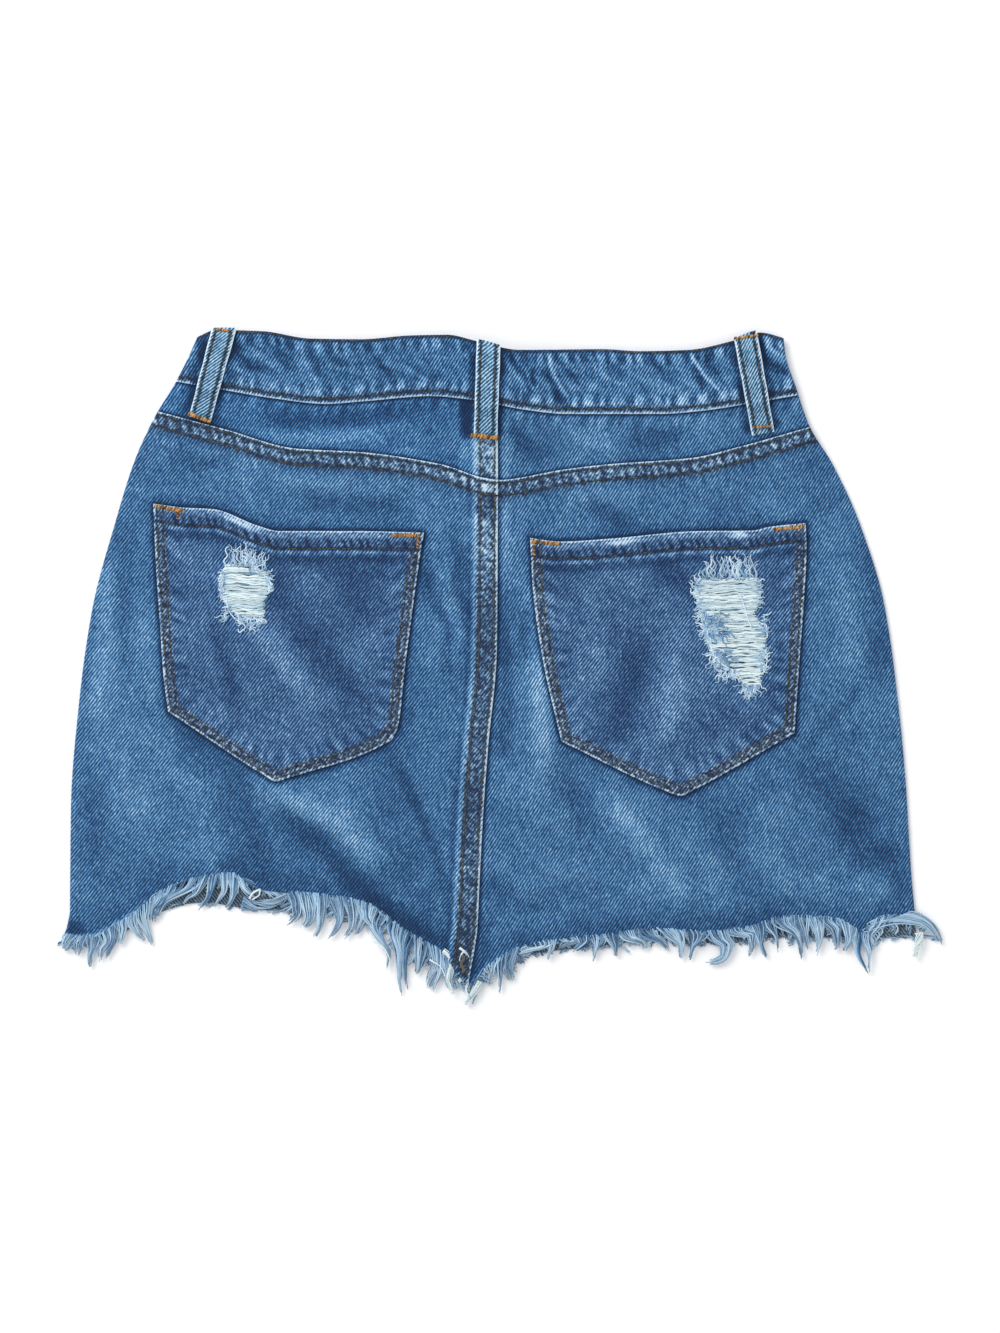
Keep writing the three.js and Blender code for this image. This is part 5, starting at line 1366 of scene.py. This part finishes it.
# Bar tacks: dense zigzags of bright orange-gold thread over the ends of the belt loops and the corners of the
# pocket mouths.
TACKS = (  # x and y of both ends, width of the zigzag, number of strands
    (-180.0, 145.8, -167.0, 141.0, 1.9, 22), (-16.0, 133.2, 0.3, 131.2, 2.4, 26), (147.6, 137.8, 158.6, 138.6, 1.5, 17),
    (-163.5, 194.6, -155.8, 193.8, 1.3, 12), (136.5, 189.3, 150.6, 191.3, 1.2, 18),
    (-200.0, 92.3, -182.6, 89.2, 1.9, 24), (-62.0, 75.4, -46.6, 75.2, 1.9, 22),
    (18.9, 71.6, 36.0, 70.0, 1.9, 24), (159.5, 78.6, 177.6, 80.4, 1.9, 24), (-186.6, 91.6, -186.0, 84.6, 1.5, 9),
    (-46.4, 75.0, -47.2, 67.6, 1.2, 9), (20.2, 71.0, 20.8, 63.6, 1.2, 9))
TACK_POINTS = 7
tack_thread = yarn("orange_bar_tack_thread", (("#553a20", "#d9a25a"),), roughness=0.6)
tack_chance = np.random.default_rng(41)
tack_parts = []
for x1, y1, x2, y2, width, count in TACKS:
    t = np.linspace(-1, 1, TACK_POINTS)
    along = (np.arange(count)[:, None] + 0.5 + 0.35 * t) / count
    across = np.array([y1 - y2, x2 - x1]) / np.hypot(x2 - x1, y2 - y1)
    reach = width / 2 * (tack_chance.uniform(0.6, 1.1, (count, 1)) * t + tack_chance.uniform(-0.3, 0.3, (count, 1)))
    x = x1 + (x2 - x1) * along + across[0] * reach
    y = y1 + (y2 - y1) * along + across[1] * reach
    base = outer(x, y)
    for foot, direction, aside, length, stations, heights in loops.values():
        local = np.stack([x, y], -1) - foot
        on_loop = (np.abs(local @ aside) < LOOP["width"] / 2) & (local @ direction > -0.2)
        on_loop &= local @ direction < length + 1
        base = np.where(on_loop, np.interp(local @ direction, stations, heights) + LOOP["thick"], base)
    z = base - 0.1 + 0.55 * np.sqrt(1 - 0.9 * t * t)
    radii = np.full((count, TACK_POINTS), 0.4) * tack_chance.uniform(0.8, 1.15, (count, 1))
    tack_parts.append((strands(np.stack([x, y, z], -1), radii, 5), 0.45 + tack_chance.uniform(-0.65, 0.6, count)))
sewing("bar_tacks", tack_parts, tack_thread)

# Frayed hem: where the cross threads are gone, the pale warp ends hang in locks of a dozen threads, swept to one
# side, curled and matted at their tips. The front's hem has its own, lower and sparser.
FRINGE_REACH = ((-256, -163), (-251, -170), (-236, -174), (-229, -171.5), (-208, -158), (-202, -163), (-187, -139),
                (-144, -142), (-121, -152), (-108, -158.5), (-83, -159.5), (-66, -177), (-55, -190), (-41, -187),
                (-27, -191), (-17, -196.6), (-7, -184), (1, -190), (8, -184), (29, -168.5), (60, -171),
                (108, -171.5), (123, -168), (145, -169.5), (177, -171), (201, -167), (213, -178.5), (219, -168),
                (243, -165))
FRINGE_LEAN = ((-252, -3), (-238, -4), (-222, -7), (-205, -8), (-190, -6), (-175, -5), (-160, -4), (-146, 7),
               (-130, 5), (-115, -5), (-90, -6), (-65, -1), (-45, -3), (-25, 5), (-10, 3), (10, 5), (30, -5),
               (50, 4), (80, -3), (115, 4), (145, -2), (175, 3), (205, 2), (225, 6), (241, 14))
FRINGE_BOW = ((-252, 1), (-222, -4), (-190, -3), (-160, 2), (-140, 3), (-110, 6), (-60, 5), (-20, 3), (10, -3),
              (60, 2), (130, -2), (200, 3), (241, 5))
HEM_BITE = 1.6  # how far into the cloth the threads start
LOCKS = {"back": {"pitch": 4.0, "threads": 7, "points": 8}, "front": {"pitch": 6.0, "threads": 5, "points": 7}}
fringe_reach = smooth_line(FRINGE_REACH)
fringe_lean = smooth_line(FRINGE_LEAN)
fringe_bow = smooth_line(FRINGE_BOW)
fringe_yarn = yarn("frayed_hem_warp", (("#28527b", "#98c0dd"), ("#3c6d98", "#c0dbed"), ("#4d7291", "#b6cfe0")))


def fringe_locks(chance, hem, root_height, lowest, start, end, pitch, threads, points, scale):
    """Locks along a hem from one x to another. A lock's threads start side by side, draw together with the share
    t along them to the power 0.7, sweep aside as 1 less (1 - t) to the power 1.5, and wave on their way down."""
    count = int((end - start) / pitch)
    middle = start + (np.arange(count) + 0.5 + chance.uniform(-0.3, 0.3, count)) * (end - start) / count
    wide = pitch * chance.uniform(1.0, 1.35, count)
    length = np.maximum(8, hem(middle) - fringe_reach(middle)) * chance.uniform(0.85, 1.15, count) * scale
    sweep = fringe_lean(middle) * chance.uniform(0.5, 1.4, count) + chance.normal(0, 1.6, count)
    curl = chance.normal(0, 1.1, count)
    gather = chance.uniform(0.4, 0.85, count)
    t = np.linspace(0, 1, points)
    u = np.linspace(-0.5, 0.5, threads) + chance.uniform(-0.05, 0.05, (count, threads))
    root_x = middle[:, None] + u * wide[:, None]
    own = chance.uniform(0.8, 1.05, (count, threads)) * (1 - 0.3 * np.abs(2 * u) ** 2)
    run = length[:, None] * own
    spread = 1 - gather[:, None, None] * t ** 0.7
    phase = chance.uniform(0, 2 * pi, (count, 1, 1))
    x = middle[:, None, None] + (root_x - middle[:, None])[..., None] * spread
    x = x + sweep[:, None, None] * (1 - (1 - t) ** 1.5) * own[..., None]
    x = x + fringe_bow(middle)[:, None, None] * np.sin(pi * t) * own[..., None]
    x = x + curl[:, None, None] * np.sin(2.4 * pi * t + phase) * t
    x = x + 0.22 * np.sin(2 * pi * t * 2.3 + chance.uniform(0, 2 * pi, (count, threads, 1)))
    y = (hem(root_x) + HEM_BITE * chance.uniform(0.4, 1.1, (count, threads)))[..., None] - run[..., None] * t
    y = y + 0.5 * np.sin(3 * pi * t + phase) * t
    round_lock = 0.9 * np.sqrt(1 - 0.9 * (2 * np.clip(u, -0.5, 0.5)) ** 2)[..., None] * (0.25 + t) * chance.uniform(
        0.2, 1, (count, threads, 1))
    root_z = root_height(root_x, hem(root_x) + 0.5)[..., None] + 0.5
    z = root_z + (np.minimum(lowest, root_z) - root_z) * ease(t, 0.1, 0.9) + round_lock
    radii = chance.uniform(0.42, 0.62, (count, threads, 1)) * (1 - 0.45 * t)
    paths = np.stack([x, y, z], -1).reshape(-1, points, 3)
    shade = (chance.uniform(0.35, 0.75, (count, 1)) + chance.uniform(-0.55, 0.55, (count, threads))).ravel()
    return strands(paths, radii.reshape(-1, points), 4), shade


# Sheaves over them, each given one by one: its first and last root's x, the width of its tip, its number of threads,
# and the places that it runs through from below its roots to its tip.
SHEAVES = (
    (-251.5, -240, 6, 12, ((-249.5, -161), (-252, -166.5))),
    (-246, -238, 5.2, 8, ((-244.5, -163), (-244.5, -169))),
    (-240, -231, 2.3, 9, ((-236, -163.5), (-237.5, -170), (-237.5, -177))),
    (-233, -225.5, 3.5, 8, ((-227.5, -160), (-231, -166), (-231.5, -172.5))),
    (-227.5, -220, 2.3, 8, ((-223.5, -158.5), (-225.5, -164), (-228, -170.5))),
    (-223, -215, 2.9, 8, ((-218.5, -153.5), (-219, -158), (-220.5, -162.5))),
    (-216, -209, 3.5, 8, ((-212, -150), (-209, -156), (-205, -160.5))),
    (-213, -202, 2.3, 10, ((-207, -147.5), (-204.5, -153.5), (-201, -163.5))),
    (-197.5, -168.5, 5.2, 20, ((-186, -130.5), (-194.5, -135), (-198.5, -141.5), (-200, -149))),
    (-202, -187, 4.6, 12, ((-197.5, -136.5), (-201, -142), (-202, -150))),
    (-179, -167, 1.7, 8, ((-176, -132), (-180.5, -135.5), (-183.5, -140))),
    (-168, -162, 1.7, 7, ((-167, -130.5), (-169.5, -136.5), (-174.5, -142.5))),
    (-162.5, -156.5, 1.7, 8, ((-159, -130), (-162, -135.5), (-166, -142.5))),
    (-157.5, -150, 2.3, 9, ((-154, -130), (-155, -135.5), (-159, -141.5))),
    (-153.5, -146.5, 2.9, 7, ((-147, -130), (-144, -133), (-140.5, -135.5))),
    (-123, -115, 4.1, 9, ((-117, -137), (-116.5, -144), (-123, -151))),
    (-117.5, -111, 2.9, 8, ((-113, -138.5), (-111.5, -145.5), (-115, -153.5))),
    (-113.5, -105.5, 2.3, 9, ((-107.5, -141), (-108.5, -148), (-114, -154.5))),
    (-107.5, -99.5, 3.5, 9, ((-103, -141.5), (-103.5, -150), (-107.5, -159))),
    (-100.5, -90, 2.3, 11, ((-93, -142), (-92, -148), (-95, -154.5), (-100.5, -160.5))),
    (-91, -81, 3.5, 11, ((-84.5, -144), (-85, -151), (-89.5, -159))),
    (-85, -77, 2.9, 8, ((-78, -145.5), (-80.5, -152), (-84.5, -158.5))),
    (-81.5, -71, 4.6, 11, ((-76.5, -145.5), (-73.5, -151.5), (-75.5, -156))),
    (-74.5, -62, 2.3, 13, ((-71.5, -151), (-68.5, -159), (-63.5, -168), (-65, -177))),
    (-64, -52.5, 2.3, 12, ((-59.5, -157), (-57.5, -167), (-57.5, -180), (-56, -192))),
    (-57, -47.5, 2.3, 9, ((-55, -163), (-55, -174.5), (-53, -188.5))),
    (-49, -39.5, 4.1, 9, ((-45.5, -169.5), (-46.5, -175.5), (-49, -181.5))),
    (-42, -30, 5.2, 13, ((-35, -174.5), (-38.5, -181.5), (-42, -188.5))),
    (-38.5, -30.5, 1.7, 6, ((-34, -177), (-37, -185.5), (-39, -193.5))),
    (-34, -24.5, 4.1, 9, ((-28.5, -175), (-28.5, -182.5), (-26.5, -190))),
    (-8.5, 1, 2.3, 7, ((-4, -178), (-5, -184))),
    (-2, 5, 1.2, 6, ((1, -177.5), (1, -184.5), (0.5, -192))),
    (2, 11.5, 4.6, 10, ((5, -174.5), (6, -179), (8.5, -184.5))),
    (12.5, 33.5, 2.9, 9, ((24.5, -162.5), (15, -165.5), (7, -171))),
    (27.5, 33.5, 1.2, 5, ((30.5, -164), (29.5, -167.5), (28.5, -172.5))),
    (33.5, 48.5, 3.5, 9, ((43, -159.5), (37.5, -162), (35, -165.5))),
    (44, 54, 2.9, 7, ((49.5, -160.5), (46, -164), (43, -166.5))),
    (52, 60.5, 1.2, 7, ((57, -160.5), (56, -166), (55, -172.5))),
    (61, 70, 1.7, 8, ((66.5, -160), (68, -164.5), (68, -171))),
    (68.5, 82, 2.9, 11, ((77.5, -158), (84, -161), (85.5, -166.5))),
    (77.5, 93.5, 2.9, 12, ((88, -156.5), (95, -160.5), (99, -166.5))),
    (91.5, 107.5, 2.9, 13, ((102.5, -156.5), (106, -163), (105.5, -171.5))),
    (108.5, 121.5, 1.7, 10, ((116.5, -156.5), (113, -163.5), (110.5, -172.5))),
    (119, 133, 3.5, 12, ((128, -158.5), (132.5, -163), (131, -169.5), (125, -172.5), (118.5, -173))),
    (132, 147, 3.5, 13, ((140.5, -154.5), (147.5, -157), (147.5, -163), (145.5, -169.5))),
    (144.5, 155, 1.7, 10, ((151, -153), (152, -160.5), (155.5, -170.5))),
    (153, 161, 1.2, 6, ((158, -151.5), (161.5, -158.5), (162.5, -167.5))),
    (158.5, 172.5, 2.3, 13, ((166, -148.5), (173, -156), (175.5, -163.5), (176, -171.5))),
    (170, 182, 2.3, 9, ((176.5, -150), (178.5, -157), (180, -166))),
    (179.5, 189.5, 2.9, 10, ((185.5, -151), (186.5, -159), (184.5, -169.5))),
    (185.5, 197, 3.5, 12, ((191, -147.5), (196, -153.5), (197, -160.5), (196, -167))),
    (196, 207.5, 2.9, 12, ((202.5, -149.5), (204, -157), (200, -167.5))),
    (205, 213.5, 1.7, 8, ((209.5, -155.5), (208.5, -164), (215, -180))),
    (211, 216.5, 1.2, 5, ((213.5, -158.5), (215.5, -168), (215.5, -180))),
    (216.5, 245.5, 5.2, 20, ((223.5, -149), (233.5, -146), (244.5, -148), (251.5, -152.5), (258, -162.5))),
    (214.5, 227, 4.6, 10, ((219.5, -150), (216, -155), (214.5, -159.5))))
SHEAF_POINTS = 14


def sheaf(chance, first, last, tip, threads, places):
    """A sheaf of threads along one bent line. A thread's way is the line, plus the distance of its root from the
    line's start, which sinks to nothing like 1 less ease(t), plus its own share of the tip's width."""
    middle = (first + last) / 2
    line = np.vstack([[middle, back_hem(middle) + HEM_BITE], places])
    knots = np.append(0, np.cumsum(np.hypot(*np.diff(line, axis=0).T)))
    u = np.linspace(-0.5, 0.5, threads) + chance.uniform(-0.03, 0.03, threads)
    t = np.linspace(0, 1, SHEAF_POINTS)
    ends = (chance.uniform(0.84, 1.03, threads) * (1 - 0.12 * np.abs(2 * u)))[:, None]
    x, y = [smooth_line(list(zip(knots, values)))(knots[-1] * ends * t) for values in line.T]
    run = np.stack([np.gradient(x, axis=1), np.gradient(y, axis=1)])
    run /= np.linalg.norm(run, axis=0)
    root_x = middle + u * (last - first)
    root_y = back_hem(root_x) + HEM_BITE * chance.uniform(0.5, 1.1, threads)
    kept = 1 - ease(t, 0, 0.75)
    way = np.sign(-run[1, :, :1].mean())
    wave = 0.16 * np.sin(2 * pi * 1.7 * t + chance.uniform(0, 2 * pi, (threads, 1))) + chance.normal(0, 0.1, (threads, 1)) * t
    aside = way * u[:, None] * tip * (1 - kept) * (1.5 - 0.7 * t ** 3) + wave
    x = x + (root_x - line[0, 0])[:, None] * kept - run[1] * aside
    y = y + (root_y - line[0, 1])[:, None] * kept + run[0] * aside
    root_z = back_base(root_x, root_y)[0][:, None] + 0.5
    heap = 1.3 * np.sqrt(np.clip(1 - 3.6 * u * u, 0, 1))[:, None] * bell(t - 0.55, 0.7) + chance.uniform(0, 0.9, (threads, 1))
    over_cloth = back_base(x, y)[0] + CLOTH + 0.5
    z = root_z + (2.0 - root_z) * ease(t, 0.1, 0.9) + heap
    z = np.where(t > 0.12, np.maximum(z, over_cloth * (y > back_hem(x) - 0.4)), z)
    radii = chance.uniform(0.36, 0.54, (threads, 1)) * (1 - 0.5 * t ** 2)
    shade = chance.uniform(0.4, 0.75) + chance.uniform(-0.6, 0.5, threads)
    return strands(np.stack([x, y, z], -1), radii, 5), shade


# Twisted cords of loose threads that lie along the hem: radius, number of threads, turns, height, places.
TWISTS = (
    (1.1, 9, 2.6, 1.9, ((7, -171), (16, -168), (24, -162.5), (33, -161), (42, -164))),
    (1.0, 8, 2.2, 2.2, ((40, -160), (46, -158.5), (55, -163), (61, -164.5))),
    (0.9, 8, 2.0, 2.0, ((62, -159), (70, -162), (76, -167))),
    (3.6, 24, 0.6, 2.6, ((-149, -138), (-141, -140), (-132, -138.5), (-122, -132.5))),
    (2.6, 16, 0.4, 2.2, ((-33, -165), (-27, -172), (-27, -181), (-24, -188))),
    (1.3, 9, 1.0, 1.9, ((-26, -180), (-22, -186), (-17, -190), (-12, -186))),
    (1.2, 9, 1.2, 1.9, ((-8, -181), (-12, -188), (-16, -193), (-19, -197.5))),
    (0.9, 7, 1.0, 1.9, ((-14, -184), (-13, -190), (-15, -197))))
# The same of white weft: the tangle at the centre-back tip, a loop to the left and the tassel at the right side.
WEFT_TWISTS = (
    (1.5, 8, 0.6, 5.2, ((-32.2, -165.9), (-28.7, -168.8), (-27, -172.8), (-28.7, -178.1), (-29.3, -182.7),
                        (-27.6, -187.3), (-26.4, -190.8))),
    (0.6, 4, 0.8, 6.0, ((-22.6, -164.1), (-18.9, -167), (-16.5, -171.7), (-18.3, -176.3), (-21.2, -179.8),
                        (-23.2, -183.3))),
    (0.5, 3, 0.8, 6.0, ((-20, -165.9), (-22.3, -169.4), (-22.9, -174.6), (-21.8, -178.6))),
    (0.9, 5, 0.8, 5.4, ((-22.9, -183.9), (-20.6, -181.5), (-17.7, -184.4), (-18.9, -188.5), (-17.1, -192.6))),
    (2.2, 10, 0.3, 4.0, ((-11.3, -183.3), (-13.6, -188.5), (-16.5, -193.1), (-19.4, -196.6))),
    (0.6, 4, 0.8, 5.4, ((-144.7, -135.7), (-142.4, -132.2), (-138.3, -130.2), (-138.9, -133.4), (-143, -136.3))),
    (2.8, 12, 0.8, 3.6, ((244, -155.5), (244.5, -160), (243, -165), (241.5, -169.4))),
    (0.4, 2, 0.5, 5.0, ((-73, -160), (-66, -165), (-63, -172), (-65, -177))),
    (0.4, 2, 0.5, 5.0, ((-40, -171), (-33, -176), (-31, -181))))
TWIST_POINTS = 22


def twisted(chance, radius, threads, turns, height, places):
    """Threads wound round a smooth line: each keeps its radius from it and turns steadily along it."""
    knots = np.linspace(0, 1, len(places))
    t = np.linspace(0, 1, TWIST_POINTS)
    x, y = [smooth_line(list(zip(knots, values)))(t) for values in zip(*places)]
    run = np.stack([np.gradient(x), np.gradient(y)], -1)
    run /= np.linalg.norm(run, axis=1)[:, None]
    turn = 2 * pi * (turns * t + np.arange(threads)[:, None] / threads) + chance.uniform(-0.3, 0.3, (threads, 1))
    own = radius * chance.uniform(0.45, 1.1, (threads, 1)) * (1 - 0.5 * t)
    paths = np.stack([x - run[:, 1] * own * np.cos(turn), y + run[:, 0] * own * np.cos(turn),
                      height + 0.55 * own * np.sin(turn)], -1)
    radii = chance.uniform(0.28, 0.4, (threads, 1)) * (1 - 0.4 * t)
    return strands(paths, radii, 4), chance.uniform(0.35, 1.0, threads)


def back_edge(x, y):
    """Height of the back panel's underside at the hem."""
    return back_base(x, y)[0]


middle_x = float(centre_back(-186.0))
for name, panel_side, hem, root_height, lowest, ends, kind, seed in (
        ("fringe_back_left", "left", back_hem, back_edge, 2.0, (-252, middle_x), "back", 51),
        ("fringe_back_right", "right", back_hem, back_edge, 2.0, (middle_x, 242.5), "back", 52),
        ("fringe_front_left", "left", front_hem, front_lift, 0.35, (-252, FLY_EDGE), "front", 53),
        ("fringe_front_right", "right", front_hem, front_lift, 0.35, (FLY_EDGE, 242.5), "front", 54)):
    chance = np.random.default_rng(seed)
    scale = 0.55 if kind == "back" else 0.42
    lock = LOCKS[kind]
    parts = [fringe_locks(chance, hem, root_height, lowest, *ends, lock["pitch"], lock["threads"], lock["points"],
                          scale)]
    if kind == "back":
        parts += [sheaf(chance, *row) for row in SHEAVES if ends[0] <= (row[0] + row[1]) / 2 < ends[1]]
        parts += [twisted(chance, *row) for row in TWISTS if ends[0] <= row[4][0][0] < ends[1] + 2]
    points, faces, shades, along = join(parts)
    mesh = make_mesh(name.replace("fringe", "hem_fringe"), points, faces, shade=shades, along=along)
    piece(mesh, fringe_yarn, "frayed_warp", name)

chance = np.random.default_rng(55)
points, faces, shades, along = join([twisted(chance, *row) for row in WEFT_TWISTS])
mesh = make_mesh("hem_loose_weft", points, faces, shade=shades + 0.5, along=along)
piece(mesh, weft_yarn, "bare_weft")
